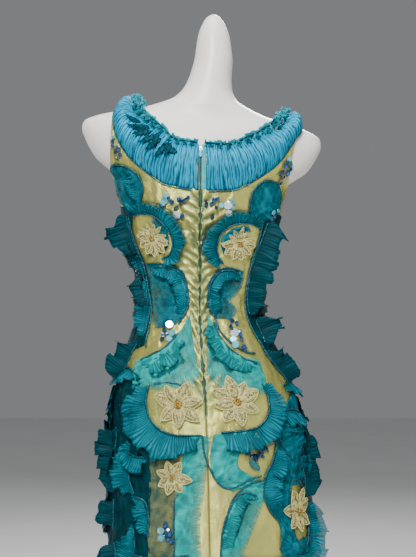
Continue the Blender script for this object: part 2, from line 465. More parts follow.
def along(rows, column, place, key="height"):
    """A column of a table at any places, by a cubic that never overshoots the rows on each side."""
    places, values = rows[key], rows[column]
    place = np.clip(place, places[0], places[-1])
    spans = np.diff(places)
    steps = np.diff(values) / spans
    product, total = steps[:-1] * steps[1:], steps[:-1] + steps[1:]
    inner = np.where(product > 0, 2 * product / np.where(total == 0, 1, total), 0.0)
    slopes = np.concatenate((steps[:1], inner, steps[-1:]))
    i = np.clip(np.searchsorted(places, place, side="right") - 1, 0, len(spans) - 1)
    t = (place - places[i]) / spans[i]
    rise = (1 + 2 * t) * (1 - t) ** 2 * values[i] + t * t * (3 - 2 * t) * values[i + 1]
    lean = t * (1 - t) ** 2 * slopes[i] - t * t * (1 - t) * slopes[i + 1]
    return rise + lean * spans[i]


def mixed(first, second, share):
    return first + (second - first) * share


def at_share(values, share):
    """The values of a list at shares of the way along it."""
    return np.interp(share, np.linspace(0, 1, len(values)), values)


def unit(vectors):
    return vectors / np.linalg.norm(vectors, axis=-1, keepdims=True)


def posed(points):
    """The points after the form takes its stance."""
    x, y, z = points[..., 0], points[..., 1], points[..., 2]
    tilt = np.radians(along(STANCE, "tilt", z))
    return np.stack((x + along(STANCE, "sideways", z), y, z + x * np.tan(tilt)), axis=-1)


def section(turn, height, rows=DRESS):
    """Points on the drawn body, upright."""
    turn, height = np.broadcast_arrays(np.asarray(turn, float), np.asarray(height, float))
    power = 2 / along(rows, "roundness", height)
    sine, cosine = np.sin(np.radians(turn)), np.cos(np.radians(turn))
    depth = np.where(cosine > 0, along(rows, "back", height), along(rows, "front", height))
    x = along(rows, "half_width", height) * np.sign(sine) * np.abs(sine) ** power
    y = depth * np.sign(cosine) * np.abs(cosine) ** power
    if rows is DRESS:
        opening = np.clip((FOLD_TOP - height) / (FOLD_TOP - HEM_HEIGHT), 0, 1) ** 1.4
        grow = 1 + FOLD_DEPTH / np.hypot(x, y) * opening * np.cos(np.radians(FOLDS * turn))
        x, y = x * grow, y * grow
    return np.stack((x, y, height), axis=-1)


def outwards(turn, height):
    """The directions straight out of the dress."""
    across = section(turn + 0.5, height) - section(turn - 0.5, height)
    up = section(turn, height + 0.002) - section(turn, height - 0.002)
    return unit(np.cross(up, across))


def above_satin(turn, height, above=0.0):
    """Upright points that far above the outer face of the satin."""
    turn, height, above = np.broadcast_arrays(np.asarray(turn, float), height, above)
    return section(turn, height) + outwards(turn, height) * (SATIN_FACE + above)[..., None]


def metres_a_degree(turn, height):
    return np.linalg.norm(above_satin(turn + 1, height) - above_satin(turn - 1, height), axis=-1) / 2


def wander(seed, first, second=0.0):
    """A smooth wander between about -1 and 1 that is the same on each run."""
    total = 0.0
    for k, (fast, slow) in enumerate(((1.0, 0.7), (1.93, -1.3), (3.1, 2.3))):
        lean = first * fast + second * slow + seed * (2.4 + k) + k
        total = total + np.sin(lean + 1.4 * np.sin(second * fast * 0.8 - first * slow * 0.5 + seed))
    return total / 3


def smooth_line(places, share):
    """The places at those shares of a smooth line through these (turn, height) places."""
    places = np.array(places, float)
    spans = len(places) - 1
    i = np.clip((share * spans).astype(int), 0, spans - 1)
    t = (share * spans - i)[:, None]
    padded = np.vstack((2 * places[0] - places[1], places, 2 * places[-1] - places[-2]))
    before, near, far, after = (padded[i + k] for k in range(4))
    bend = (2 * t**3 - 3 * t**2 + 1) * near + (3 * t**2 - 2 * t**3) * far
    return bend + (t**3 - 2 * t**2 + t) * (far - before) / 2 + (t**3 - t**2) * (after - near) / 2


def finished(name, bm, material, smooth=True):
    """Puts a bmesh in the scene as an object with one material."""
    mesh = bpy.data.meshes.new(name)
    bm.to_mesh(mesh)
    bm.free()
    return shown(name, mesh, material, smooth)


def shown(name, mesh, material, smooth=True):
    if smooth:
        mesh.shade_smooth()
    mesh.materials.append(material)
    return linked(name, mesh)


def linked(name, data):
    """Puts data in the scene as an object."""
    made = bpy.data.objects.new(name, data)
    bpy.context.scene.collection.objects.link(made)
    return made


def welded(mesh, filled=False):
    """Joins the meeting edges of a mesh, and closes its open ends where it is to be filled."""
    bm = bmesh.new()
    bm.from_mesh(mesh)
    bmesh.ops.remove_doubles(bm, verts=bm.verts, dist=WELD_DISTANCE)
    if filled:
        bmesh.ops.holes_fill(bm, edges=[edge for edge in bm.edges if edge.is_boundary], sides=0)
    bmesh.ops.recalc_face_normals(bm, faces=bm.faces)
    bm.to_mesh(mesh)
    bm.free()
    return mesh


def joined(name, meshes, look):
    """One piece made of many small grids of cloth."""
    merged = bmesh.new()
    merged.loops.layers.uv.new("cloth")
    merged.verts.layers.float.new("ridge")
    merged.verts.layers.float.new("edge")
    for mesh in meshes:
        merged.from_mesh(mesh)
        bpy.data.meshes.remove(mesh)
    return finished(name, merged, finish(look))


def paint_node(node, look):
    """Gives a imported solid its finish."""
    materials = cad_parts[node].data.materials
    materials.clear()
    materials.append(finish(look))


def place_points(mesh, points):
    mesh.vertices.foreach_set("co", np.ascontiguousarray(points, dtype=np.float32).ravel())
    mesh.update()


def points_of(mesh):
    points = np.empty(len(mesh.vertices) * 3, dtype=np.float32)
    mesh.vertices.foreach_get("co", points)
    return points.reshape(-1, 3).astype(float)


def cloth_grid(name, columns, rows, place, size, closed=False):
    """A grid of cloth, mapped in metres, that faces away from the body. place(u, v) gives its points and,
    where its material asks for them, the height of its pleats and how near the free edge each point is."""
    bm = bmesh.new()
    bm.loops.layers.uv.new("cloth")
    bmesh.ops.create_grid(bm, x_segments=columns, y_segments=rows, size=0.5, calc_uvs=True)
    mesh = bpy.data.meshes.new(name)
    bm.to_mesh(mesh)
    bm.free()
    flat = points_of(mesh) + 0.5
    points = place(flat[:, 0], flat[:, 1])
    if isinstance(points, tuple):
        points, *marks = points
        for mark, values in zip(("ridge", "edge"), marks):
            made = mesh.attributes.new(mark, "FLOAT", "POINT")
            made.data.foreach_set("value", np.broadcast_to(values, len(points)).astype(np.float32))
    place_points(mesh, points)
    corners = np.empty(len(mesh.loops), dtype=np.int32)
    mesh.loops.foreach_get("vertex_index", corners)
    spread = (flat[:, :2] * size)[corners]
    mesh.uv_layers["cloth"].data.foreach_set("uv", spread.astype(np.float32).ravel())
    face_away(mesh, points.mean(axis=0) if closed else None)
    return mesh


def face_away(mesh, heart=None):
    """Turns a mesh's faces away from its heart, or from the upright line through the body."""
    normals = np.empty(len(mesh.polygons) * 3, dtype=np.float32)
    centres = np.empty(len(mesh.polygons) * 3, dtype=np.float32)
    mesh.polygons.foreach_get("normal", normals)
    mesh.polygons.foreach_get("center", centres)
    away = centres.reshape(-1, 3) - (0 if heart is None else heart)
    if heart is None:
        away[:, 2] = 0
    if (normals.reshape(-1, 3) * away).sum() < 0:
        mesh.flip_normals()


def cloth_area(mesh):
    areas = np.empty(len(mesh.polygons), dtype=np.float32)
    mesh.polygons.foreach_get("area", areas)
    return float(areas.sum())


def hang(piece, width, length=None, nodes=(), wall=SHEER_WALL):
    """Rides, slots and declares a sheet of cloth and gives it its thickness."""
    area = cloth_area(piece.data)
    if length is None:
        length = area / width
        area = None
    thicken(piece, wall)
    wear(piece, nodes)
    return piece


def thicken(piece, wall):
    thick = piece.modifiers.new("Cloth", "SOLIDIFY")
    thick.thickness = wall
    thick.offset = -1


def wear(piece, nodes=()):
    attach(piece, "dress")
    if nodes:
        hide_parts(*nodes)
    return piece


# Materials


def put(tree, kind, inputs=(), **settings):
    """Adds a shader node, sets its settings, and links or sets its inputs."""
    made = tree.nodes.new(kind)
    for key, value in settings.items():
        setattr(made, key, value)
    for key, value in dict(inputs).items():
        if isinstance(value, bpy.types.NodeSocket):
            tree.links.new(value, made.inputs[key])
        else:
            made.inputs[key].default_value = value
    return made


def effect(name, inputs, outputs, build):
    """A shader node group with named sockets, built once."""
    if name in bpy.data.node_groups:
        return bpy.data.node_groups[name]
    group = bpy.data.node_groups.new(name, "ShaderNodeTree")
    for socket, kind, value in inputs:
        made = group.interface.new_socket(name=socket, in_out="INPUT", socket_type=kind)
        if value is not None:
            made.default_value = value
    for socket, kind in outputs:
        group.interface.new_socket(name=socket, in_out="OUTPUT", socket_type=kind)
    into = group.nodes.new("NodeGroupInput").outputs
    out = group.nodes.new("NodeGroupOutput").inputs
    for socket, value in build(group, into).items():
        group.links.new(value, out[socket])
    return group


def fine_weave():
    """Crossed threads, seen close up."""

    def build(tree, into):
        heights = []
        for direction in ("X", "Z"):
            wave = put(tree, "ShaderNodeTexWave",
                       {"Vector": into["Vector"], "Scale": into["Threads"], "Distortion": 0.4},
                       bands_direction=direction)
            heights.append(wave.outputs["Fac"])
        crossed = put(tree, "ShaderNodeMath", {0: heights[0], 1: heights[1]}, operation="MAXIMUM")
        return {"Height": crossed.outputs[0]}

    return effect("fine_weave", [("Vector", "NodeSocketVector", None), ("Threads", "NodeSocketFloat", 700.0)],
                  [("Height", "NodeSocketFloat")], build)


def crinkle():
    """Soft crumples and a colour drift."""

    def build(tree, into):
        stretch = put(tree, "ShaderNodeVectorMath", {0: into["Vector"], 1: into["Stretch"]},
                      operation="MULTIPLY")
        noise = put(tree, "ShaderNodeTexNoise",
                    {"Vector": stretch.outputs[0], "Scale": into["Scale"], "Detail": 3.0,
                     "Distortion": 0.6})
        spread = put(tree, "ShaderNodeMapRange",
                     {"Value": noise.outputs["Fac"], "From Min": 0.32, "From Max": 0.68})
        return {"Height": noise.outputs["Fac"], "Drift": spread.outputs["Result"]}

    return effect("crinkle", [("Vector", "NodeSocketVector", None), ("Scale", "NodeSocketFloat", 40.0),
                              ("Stretch", "NodeSocketVector", (1, 1, 1))],
                  [("Height", "NodeSocketFloat"), ("Drift", "NodeSocketFloat")], build)


def pleat_shade():
    """How light and how thick pleated organza looks, by its pleats, free edge, threads and a drift."""

    def build(tree, into):
        long = put(tree, "ShaderNodeVectorMath", {0: into["Map"], 1: into["Stretch"]}, operation="MULTIPLY")
        thread = put(tree, "ShaderNodeTexNoise",
                     {"Vector": long.outputs[0], "Scale": into["Threads"], "Detail": 2.0})
        fine = put(tree, "ShaderNodeMapRange",
                   {"Value": thread.outputs["Fac"], "From Min": 0.33, "From Max": 0.67})
        cloud = put(tree, "ShaderNodeTexNoise",
                    {"Vector": into["Place"], "Scale": into["Clouds"], "Detail": 2.0})
        soft = put(tree, "ShaderNodeMapRange",
                   {"Value": cloud.outputs["Fac"], "From Min": 0.32, "From Max": 0.68})
        grain = times(tree, fine.outputs["Result"], 0.34, 0.66)
        drift = times(tree, soft.outputs["Result"], 0.45, 0.55)
        crest = times(tree, into["Ridge"], grain)
        shade = times(tree, crest, drift)
        thin = times(tree, into["Edge"], -0.5, 1.0)
        return {"Shade": shade, "Cover": times(tree, drift, thin), "Thread": fine.outputs["Result"]}

    return effect("pleat_shade",
                  [("Map", "NodeSocketVector", None), ("Place", "NodeSocketVector", None),
                   ("Ridge", "NodeSocketFloat", 0.0), ("Edge", "NodeSocketFloat", 0.0),
                   ("Stretch", "NodeSocketVector", (1, 1, 1)), ("Threads", "NodeSocketFloat", 900.0),
                   ("Clouds", "NodeSocketFloat", 30.0)],
                  [("Shade", "NodeSocketFloat"), ("Cover", "NodeSocketFloat"), ("Thread", "NodeSocketFloat")],
                  build)


def glitter():
    """Small facets with their own shade, for beads and sequins."""

    def build(tree, into):
        cells = put(tree, "ShaderNodeTexVoronoi", {"Vector": into["Vector"], "Scale": into["Scale"]})
        grey = put(tree, "ShaderNodeSeparateColor", {"Color": cells.outputs["Color"]})
        return {"Shade": grey.outputs["Red"], "Height": cells.outputs["Distance"]}

    return effect("glitter", [("Vector", "NodeSocketVector", None), ("Scale", "NodeSocketFloat", 500.0)],
                  [("Shade", "NodeSocketFloat"), ("Height", "NodeSocketFloat")], build)


def new_material(name, roughness=0.5, metallic=0.0, **sockets):
    """A material with its Principled shader, its tree and its object coordinates."""
    made = bpy.data.materials.new(name)
    made.use_nodes = True
    tree = made.node_tree
    shader = tree.nodes["Principled BSDF"]
    shader.inputs["Roughness"].default_value = roughness
    shader.inputs["Metallic"].default_value = metallic
    for key, value in sockets.items():
        shader.inputs[key.replace("_", " ")].default_value = value
    place = tree.nodes.new("ShaderNodeTexCoord")
    return made, tree, shader, place


def use(tree, group, inputs):
    return put(tree, "ShaderNodeGroup", inputs, node_tree=group).outputs


def times(tree, first, second, plus=None):
    """The product of two values, and of those and a third added where there is one."""
    if plus is None:
        return put(tree, "ShaderNodeMath", {0: first, 1: second}, operation="MULTIPLY").outputs[0]
    return put(tree, "ShaderNodeMath", {0: first, 1: second, 2: plus}, operation="MULTIPLY_ADD").outputs[0]


def blend_colours(tree, share, dark, light):
    ramp = put(tree, "ShaderNodeMix", {"Factor": share}, data_type="RGBA")
    for key, colour in (("A", dark), ("B", light)):
        socket = next(s for s in ramp.inputs if s.name == key and s.type == "RGBA")
        if isinstance(colour, bpy.types.NodeSocket):
            tree.links.new(colour, socket)
        else:
            socket.default_value = (*colour, 1)
    return next(s for s in ramp.outputs if s.type == "RGBA")


def paint(tree, shader, share, dark, light):
    tree.links.new(blend_colours(tree, share, dark, light), shader.inputs["Base Color"])


def bump(tree, shader, height, strength, distance):
    made = put(tree, "ShaderNodeBump", {"Height": height, "Strength": strength, "Distance": distance})
    tree.links.new(made.outputs["Normal"], shader.inputs["Normal"])


def satin_material(dark, light):
    made, tree, shader, place = new_material("gold_satin", 0.32, 0.70)
    drift = use(tree, crinkle(), {"Vector": place.outputs["Object"], "Scale": 24.0,
                                  "Stretch": (1.0, 1.0, 0.5)})
    slub = use(tree, crinkle(), {"Vector": place.outputs["Object"], "Scale": 900.0,
                                 "Stretch": (0.2, 0.2, 1.0)})
    share = times(tree, slub["Drift"], 0.15, 0.85)
    soft = put(tree, "ShaderNodeMapRange", {"Value": drift["Drift"], "To Min": 0.62, "To Max": 1.0})
    both = times(tree, share, soft.outputs["Result"])
    flat = put(tree, "ShaderNodeAttribute", attribute_name="ridge").outputs["Fac"]
    paint(tree, shader, times(tree, both, flat), dark, light)
    rough = put(tree, "ShaderNodeMapRange", {"Value": drift["Drift"], "To Min": 0.38, "To Max": 0.28})
    tree.links.new(rough.outputs["Result"], shader.inputs["Roughness"])
    weave = use(tree, fine_weave(), {"Vector": place.outputs["Object"], "Threads": 1200.0})
    crumple = use(tree, crinkle(), {"Vector": place.outputs["Object"], "Scale": 95.0})
    bump(tree, shader, times(tree, weave["Height"], 0.05, crumple["Height"]), 0.5, 0.0024)
    return made


FADE_SPAN = 0.34


def organza_material(name, dark, light, thin, thick, fade=0.0, threads=900.0, clouds=30.0, roughness=0.5):
    """Sheer pleated organza: darker and thicker in its pleats, and worn to threads where it fades out."""
    made, tree, shader, place = new_material(name, roughness, Specular_IOR_Level=0.08)
    ridge = put(tree, "ShaderNodeAttribute", attribute_name="ridge").outputs["Fac"]
    edge = put(tree, "ShaderNodeAttribute", attribute_name="edge").outputs["Fac"]
    look = use(tree, pleat_shade(), {"Map": place.outputs["UV"], "Place": place.outputs["Object"],
                                     "Ridge": ridge,
                                     "Edge": edge, "Stretch": (0.12, 1.0, 1.0) if fade else (1.0, 0.12, 1.0),
                                     "Threads": threads, "Clouds": clouds})
    lifted = put(tree, "ShaderNodeMath", {0: look["Shade"], 1: 1.15, 2: 0.04}, operation="MULTIPLY_ADD",
                 use_clamp=True)
    paint(tree, shader, lifted.outputs[0], dark, light)
    if thick < 1:
        alpha = put(tree, "ShaderNodeMapRange",
                    {"Value": look["Cover"], "From Min": 0.3, "To Min": thin, "To Max": thick})
        result = alpha.outputs["Result"]
        if fade:
            ragged = times(tree, look["Thread"], -0.38, edge)
            gone = put(tree, "ShaderNodeMapRange",
                       {"Value": ragged, "From Min": fade, "From Max": fade + FADE_SPAN,
                        "To Min": 1.0, "To Max": 0.0})
            result = times(tree, result, gone.outputs["Result"])
        tree.links.new(result, shader.inputs["Alpha"])
    bump(tree, shader, look["Thread"], 0.3, 0.0005)
    return made


def braid_material(dark, light):
    made, tree, shader, place = new_material("sequin_braid", 0.32, 0.25)
    cells = use(tree, glitter(), {"Vector": place.outputs["Object"], "Scale": 620.0})
    paint(tree, shader, cells["Shade"], dark, light)
    bump(tree, shader, cells["Height"], 0.8, 0.0008)
    return made


def lace_material(name, dark, light):
    """Lace worked in thread, with its stitches and a drift from pale to brown."""
    made, tree, shader, place = new_material(name, 0.5, 0.05)
    cells = use(tree, glitter(), {"Vector": place.outputs["Object"], "Scale": 560.0})
    drift = use(tree, crinkle(), {"Vector": place.outputs["Object"], "Scale": 120.0})
    share = times(tree, cells["Shade"], times(tree, drift["Drift"], 0.55, 0.45))
    paint(tree, shader, share, dark, light)
    bump(tree, shader, cells["Height"], 0.7, 0.0007)
    return made


def plain_material(name, dark, light, roughness, metallic, scale, coat=0.0, depth=0.0002, stretch=(1, 1, 1)):
    """A finish with a slow drift of colour and a fine grain."""
    made, tree, shader, place = new_material(name, roughness, metallic, Coat_Weight=coat)
    drift = use(tree, crinkle(), {"Vector": place.outputs["Object"], "Scale": scale, "Stretch": stretch})
    paint(tree, shader, drift["Drift"], dark, light)
    rough = put(tree, "ShaderNodeMapRange", {"Value": drift["Height"], "To Min": roughness * 0.85,
                                             "To Max": roughness * 1.2})
    tree.links.new(rough.outputs["Result"], shader.inputs["Roughness"])
    bump(tree, shader, drift["Height"], 0.3, depth)
    return made


FINISHES = {}
# Finishes whose colours stay as they are, with what plain_material takes
PLAIN_FINISHES = {
    "gold_bead": ("gold_beads", (0.30, 0.17, 0.03), (0.72, 0.45, 0.12), 0.25, 0.75, 300.0),
    "dark_bead": ("dark_beads", (0.035, 0.022, 0.008), (0.14, 0.09, 0.03), 0.3, 0.3, 300.0),
    "disc": ("aqua_sequins", (0.04, 0.36, 0.46), (0.22, 0.72, 0.80), 0.14, 0.35, 160.0, 0.6),
    "pale": ("pale_sequins", (0.60, 0.82, 0.90), (0.92, 0.97, 1.0), 0.12, 0.35, 160.0, 0.6),
    "crystal": ("blue_crystals", (0.002, 0.020, 0.09), (0.01, 0.13, 0.36), 0.10, 0.3, 200.0, 1.0),
    "drop": ("navy_drops", (0.001, 0.010, 0.040), (0.006, 0.06, 0.16), 0.12, 0.3, 200.0, 1.0),
    "petal": ("dark_petals", (0.003, 0.05, 0.055), (0.02, 0.20, 0.20), 0.4, 0.0, 200.0),
    "tape": ("zip_tape", (0.02, 0.11, 0.13), (0.06, 0.24, 0.27), 0.5, 0.0, 400.0),
    "steel": ("zip_steel", (0.45, 0.45, 0.46), (0.72, 0.72, 0.74), 0.26, 1.0, 600.0),
    "enamel": ("pull_enamel", (0.04, 0.20, 0.36), (0.12, 0.42, 0.62), 0.22, 0.1, 300.0, 0.7),
    "form": ("form_white", (0.90, 0.875, 0.82), (0.93, 0.905, 0.855), 0.36, 0.0, 14.0, 0.0, 0.0004),
    "stand": ("stand_steel", (0.42, 0.42, 0.43), (0.62, 0.62, 0.63), 0.34, 1.0, 220.0, 0.0, 0.0002,
              (1.0, 1.0, 0.05)),
}


def finish(name):
    """A finish of the dress, made when it is first asked for."""
    if name in FINISHES and FINISHES[name].name in bpy.data.materials:
        return FINISHES[name]
    looks = bpy.context.scene.dress_look
    satin, teal, lace = tuple(looks.satin_colour), tuple(looks.teal_colour), tuple(looks.lace_colour)
    shade = {k: tuple(c * k for c in teal) for k in (0.05, 0.12, 0.2, 0.3, 0.45, 0.75, 1.2)}
    blue = (teal[0] * 4, teal[1] * 1.7, teal[2] * 2.0)
    organza = {
        "frill": ("teal_frill", shade[0.05], shade[1.2], 0.45, 0.94),
        "bright_frill": ("bright_frill", shade[0.2], (0.010, 0.58, 0.58), 0.30, 0.85),
        "side_frill": ("deep_teal_frill", shade[0.05], shade[0.3], 0.5, 1.0),
        "under": ("teal_under_frill", shade[0.05], shade[0.45], 0.20, 0.66),
        "veil": ("teal_veil", shade[0.12], shade[0.75], 0.42, 0.97, 0.62, 420.0, 34.0),
        "bright_veil": ("bright_veil", (0.001, 0.17, 0.19), (0.012, 0.60, 0.54), 0.42, 0.92, 0.62, 420.0,
                        34.0),
        "tan_veil": ("tan_veil", (0.008, 0.085, 0.08), (0.26, 0.27, 0.12), 0.55, 0.9, 0.66, 420.0, 34.0),
        "dark_veil": ("deep_teal_veil", shade[0.05], shade[0.2], 0.62, 0.99, 0.75, 420.0, 34.0),
        "collar": ("collar_pleats", (0.0005, 0.030, 0.075), blue, 1.0, 1.0, 0.0, 700.0, 24.0),
        "ruche": ("ruche_organza", shade[0.12], (0.03, 0.48, 0.60), 0.85, 1.0, 0.0, 500.0, 90.0),
        "leaf": ("leaf_organza", (0.0005, 0.010, 0.022), shade[0.3], 1.0, 1.0, 0.0, 500.0, 120.0),
        "placket": ("placket_organza", shade[1.2], (0.10, 0.52, 0.56), 1.0, 1.0),
    }
    other = {
        "satin": (satin_material, (satin[0] * 0.14, satin[1] * 0.24, satin[2] * 0.42), satin),
        "braid": (braid_material, (0.001, 0.016, 0.026), (0.010, 0.16, 0.21)),
        "lace": (lace_material, "flower_lace", tuple(c * 0.16 for c in lace),
                 tuple(min(1, c * 1.3) for c in lace)),
        "lace_rim": (lace_material, "flower_cord", tuple(c * 0.85 for c in lace),
                     tuple(min(1, c * 1.5) for c in lace)),
    }
    if name in organza:
        FINISHES[name] = organza_material(*organza[name])
    elif name in other:
        maker, *values = other[name]
        FINISHES[name] = maker(*values)
    else:
        FINISHES[name] = plain_material(*PLAIN_FINISHES[name])
    return FINISHES[name]


# The form and its stand


def make_form():
    """The white torso with its narrow neck and armless shoulders."""
    heights = np.concatenate((np.linspace(0.80, 1.36, 60), np.linspace(1.36, 1.53, 60)[1:],
                              np.linspace(1.53, 1.66, 26)[1:],
                              1.689 - 0.029 * np.linspace(1, 0, 20)[1:] ** 1.6))

    def place(u, v):
        return posed(section(u * 360 - 180, at_share(heights, v), FORM))

    mesh = welded(cloth_grid("form_shell", 96, len(heights) - 1, place, (1.0, 0.9)), filled=True)
    form = shown("form_shell", mesh, finish("form"))
    mesh.set_sharp_from_angle(angle=math.radians(60))
    wear(form, ["form_torso"])
    for node in ("form_base", "form_pole"):
        paint_node(node, "stand")


# The satin panels


def shoulder_height(reach):
    """The height on top of the shoulder at which the body is that wide."""
    heights = np.linspace(1.470, 1.528, 240)
    widths = along(DRESS, "half_width", heights)
    return np.interp(reach, widths[::-1], heights[::-1])


def turn_at(reach, height):
    share = np.clip(reach / along(DRESS, "half_width", height), 0, 1)
    return np.degrees(np.arcsin(share ** (along(DRESS, "roundness", height) / 2)))


def panel_spot(share, level, back, side):
    """The turn and height of a panel's point. A level is a height, and above the armpit 2 to 9."""
    yoke = np.clip(level - 2, 0, 7)
    left = side > 0
    edge = np.where(left, along(YOKE, "left_edge", yoke, "level"), along(YOKE, "right_edge", yoke, "level"))
    widest = np.where(left, along(YOKE, "left_reach", yoke, "level"),
                      along(YOKE, "right_reach", yoke, "level"))
    reach = np.minimum(widest, along(DRESS, "half_width", edge)) * np.sin(np.radians(90 * share))
    middle = along(YOKE, "back_middle" if back else "front_middle", yoke, "level")
    top = np.where(reach < 1e-6, edge, np.minimum(edge, shoulder_height(reach) - 0.0002))
    rise = np.minimum(1.0, share / STRAP_START) ** (2.0 if back else 1.6)
    high = mixed(middle, np.maximum(top, middle), rise)
    low = level < 2
    height = np.where(low, np.minimum(level, ARMPIT_HEIGHT), high)
    return np.where(low, 90 * share, turn_at(reach, high)), height


PUCKER_FOOT, PUCKER_TOP = 0.950, 1.372


def satin_folds(turn, height):
    """Puckers down to the zip, in metres outwards, and how light they are, from 0 in a fold to 1."""
    x = section(turn, height)[..., 0]
    side = np.sign(x)
    steep = 0.75 + 1.1 * np.exp(-(((height - 1.10) / 0.10) ** 2))
    phase = (height - steep * np.abs(x)) / 0.025 + side * 0.23 + 0.8 * wander(5, height * 21, side)
    fold = (0.5 + 0.5 * np.cos(math.tau * phase)) ** 1.5
    fine_phase = (height - 0.9 * np.abs(x)) / 0.0085 + 0.8 * wander(6, height * 47, side)
    fine = (0.5 + 0.5 * np.cos(math.tau * fine_phase)) ** 2
    reach = 0.030 + 0.014 * wander(3, height * 61, side * 2)
    weight = 0.6 + 0.4 * wander(4, height * 110, side * 3)
    on_back = np.abs(turn) < 90
    low, high = np.clip((height - PUCKER_FOOT) / 0.04, 0, 1), np.clip((PUCKER_TOP - height) / 0.03, 0, 1)
    zone = low * high * on_back
    near, close = np.exp(-((x / reach) ** 2)) * zone, np.exp(-((x / 0.015) ** 2)) * zone
    puckers = 0.0048 * fold * weight * near + 0.0017 * fine * close
    return puckers, 1 - np.clip(0.95 * near * (1 - fold) + 0.25 * close * (1 - fine), 0, 0.85)


def dents(turn, height):
    """The broad and the small dents in the satin, between about -1 and 1."""
    return wander(7, turn * 0.16, height * 34), wander(9, turn * 0.4, height * 80)


def satin_relief(turn, height):
    """The puckers, drag lines at the waist and soft dents, in metres outwards."""
    puckers = satin_folds(turn, height)[0]
    waist = np.exp(-(((height - 1.13) / 0.07) ** 2))
    drag = 0.0012 * waist * (0.5 + 0.5 * np.sin(height * 420 + 2.4 * wander(6, turn * 0.05, height * 4)))
    broad, small = dents(turn, height)
    dented = 0.0012 * (1 + broad) + 0.0008 * (1 + small)
    skirt = np.clip((0.62 - height) / 0.5, 0, 1) * 0.005 * wander(8, turn * 0.12, height * 3)
    return puckers + drag + dented + skirt


def on_satin(turn, height, above):
    """Upright points that far above the creased satin."""
    turn, height = np.broadcast_arrays(np.asarray(turn, float), np.asarray(height, float))
    return above_satin(turn, height, above + satin_relief(turn, height))


def zip_gap(height):
    return np.where(height > ZIP_BOTTOM, HALF_ZIP, HALF_SEAM)


PANEL_LENGTH = 1.52
PANEL_LEVELS = np.concatenate((np.linspace(HEM_HEIGHT, 0.92, 60), np.linspace(0.92, ARMPIT_HEIGHT, 180)[1:],
                               np.linspace(2, 9, 30)))


def make_panels():
    """The satin front and the two backs, with puckers along the zip."""

    def satin(turn, height, seam, relief):
        point = section(turn, height) + outwards(turn, height) * (SATIN_FACE + relief)[..., None]
        point[..., 1] += seam
        return point

    def lightness(turn, height):
        broad, small = dents(turn, height)
        return satin_folds(turn, height)[1] * (0.84 + 0.16 * (0.5 + 0.5 * broad * (0.6 + 0.4 * small)))

    def back(side):
        def place(u, v):
            share = u**1.25 if side > 0 else (1 - u) ** 1.25
            level = at_share(PANEL_LEVELS, v)
            turn, height = panel_spot(share, level, True, side)
            point = satin(side * turn, height, HALF_SEAM, satin_relief(side * turn, height))
            point[..., 0] += side * zip_gap(height) * (1 - share)
            return posed(point), lightness(side * turn, height), 0.0

        return place

    def front(u, v):
        side = np.where(u < 0.5, 1, -1)
        level = at_share(PANEL_LEVELS, v)
        turn, height = panel_spot(np.abs(1 - 2 * u), level, False, side)
        turn = side * (180 - turn)
        point = satin(turn, height, -HALF_SEAM, satin_relief(turn, height))
        return posed(point), lightness(turn, height), 0.0

    rows = len(PANEL_LEVELS) - 1
    for name, columns, place, node, width in (
        ("satin_back_left", 52, back(1), "panel_back_left", 0.56),
        ("satin_back_right", 52, back(-1), "panel_back_right", 0.56),
        ("satin_front", 70, front, "panel_front", 1.06),
    ):
        piece = shown(name, cloth_grid(name, columns, rows, place, (width, 1.5)), finish("satin"))
        hang(piece, width, PANEL_LENGTH, [node], wall=SATIN_WALL)


# The collar


COLLAR_ROLL, COLLAR_SHOULDER_ROLL, COLLAR_LIFT, ON_SATIN = 0.0110, 0.0050, 0.0030, 0.0008
# How far each back of the collar stands off the zip, and over how many degrees of its way
COLLAR_EDGE, PARTED_WAY = {1: 0.0040, -1: 0.0106}, 20
COLLAR_WALL, COLLAR_WIDTH, COLLAR_ROWS, PLEAT_COLUMNS = 0.0012, 0.11, 16, 7


def collar_spot(way, side, share):
    """The turns, without their sign, and the heights of a share of the collar's band, on each side."""

    def column(name):
        return np.where(side > 0, along(COLLARS[1], name, way, "way"), along(COLLARS[-1], name, way, "way"))

    turn = mixed(column("inner_turn"), column("outer_turn"), share)
    return turn, mixed(column("inner_height"), column("outer_height"), share)


def collar_place(way, side, share, above):
    """Posed points over the collar's band: share runs from its inner edge, 0, to its outer edge, 1."""
    turn, height = collar_spot(way, side, share)
    shoulder = np.sin(np.radians(way)) ** 2
    inside = np.clip(share, 0, 1)
    roll = (COLLAR_ROLL + COLLAR_SHOULDER_ROLL * shoulder) * np.sin(math.pi * inside**0.85)
    lift = ON_SATIN + COLLAR_LIFT * (1 - inside) ** 1.5 + roll + above
    point = above_satin(side * turn, height, lift)
    parted = np.where(side > 0, COLLAR_EDGE[1], COLLAR_EDGE[-1]) * np.maximum(0.0, 1 - way / PARTED_WAY)
    point[..., 0] += side * parted
    return point


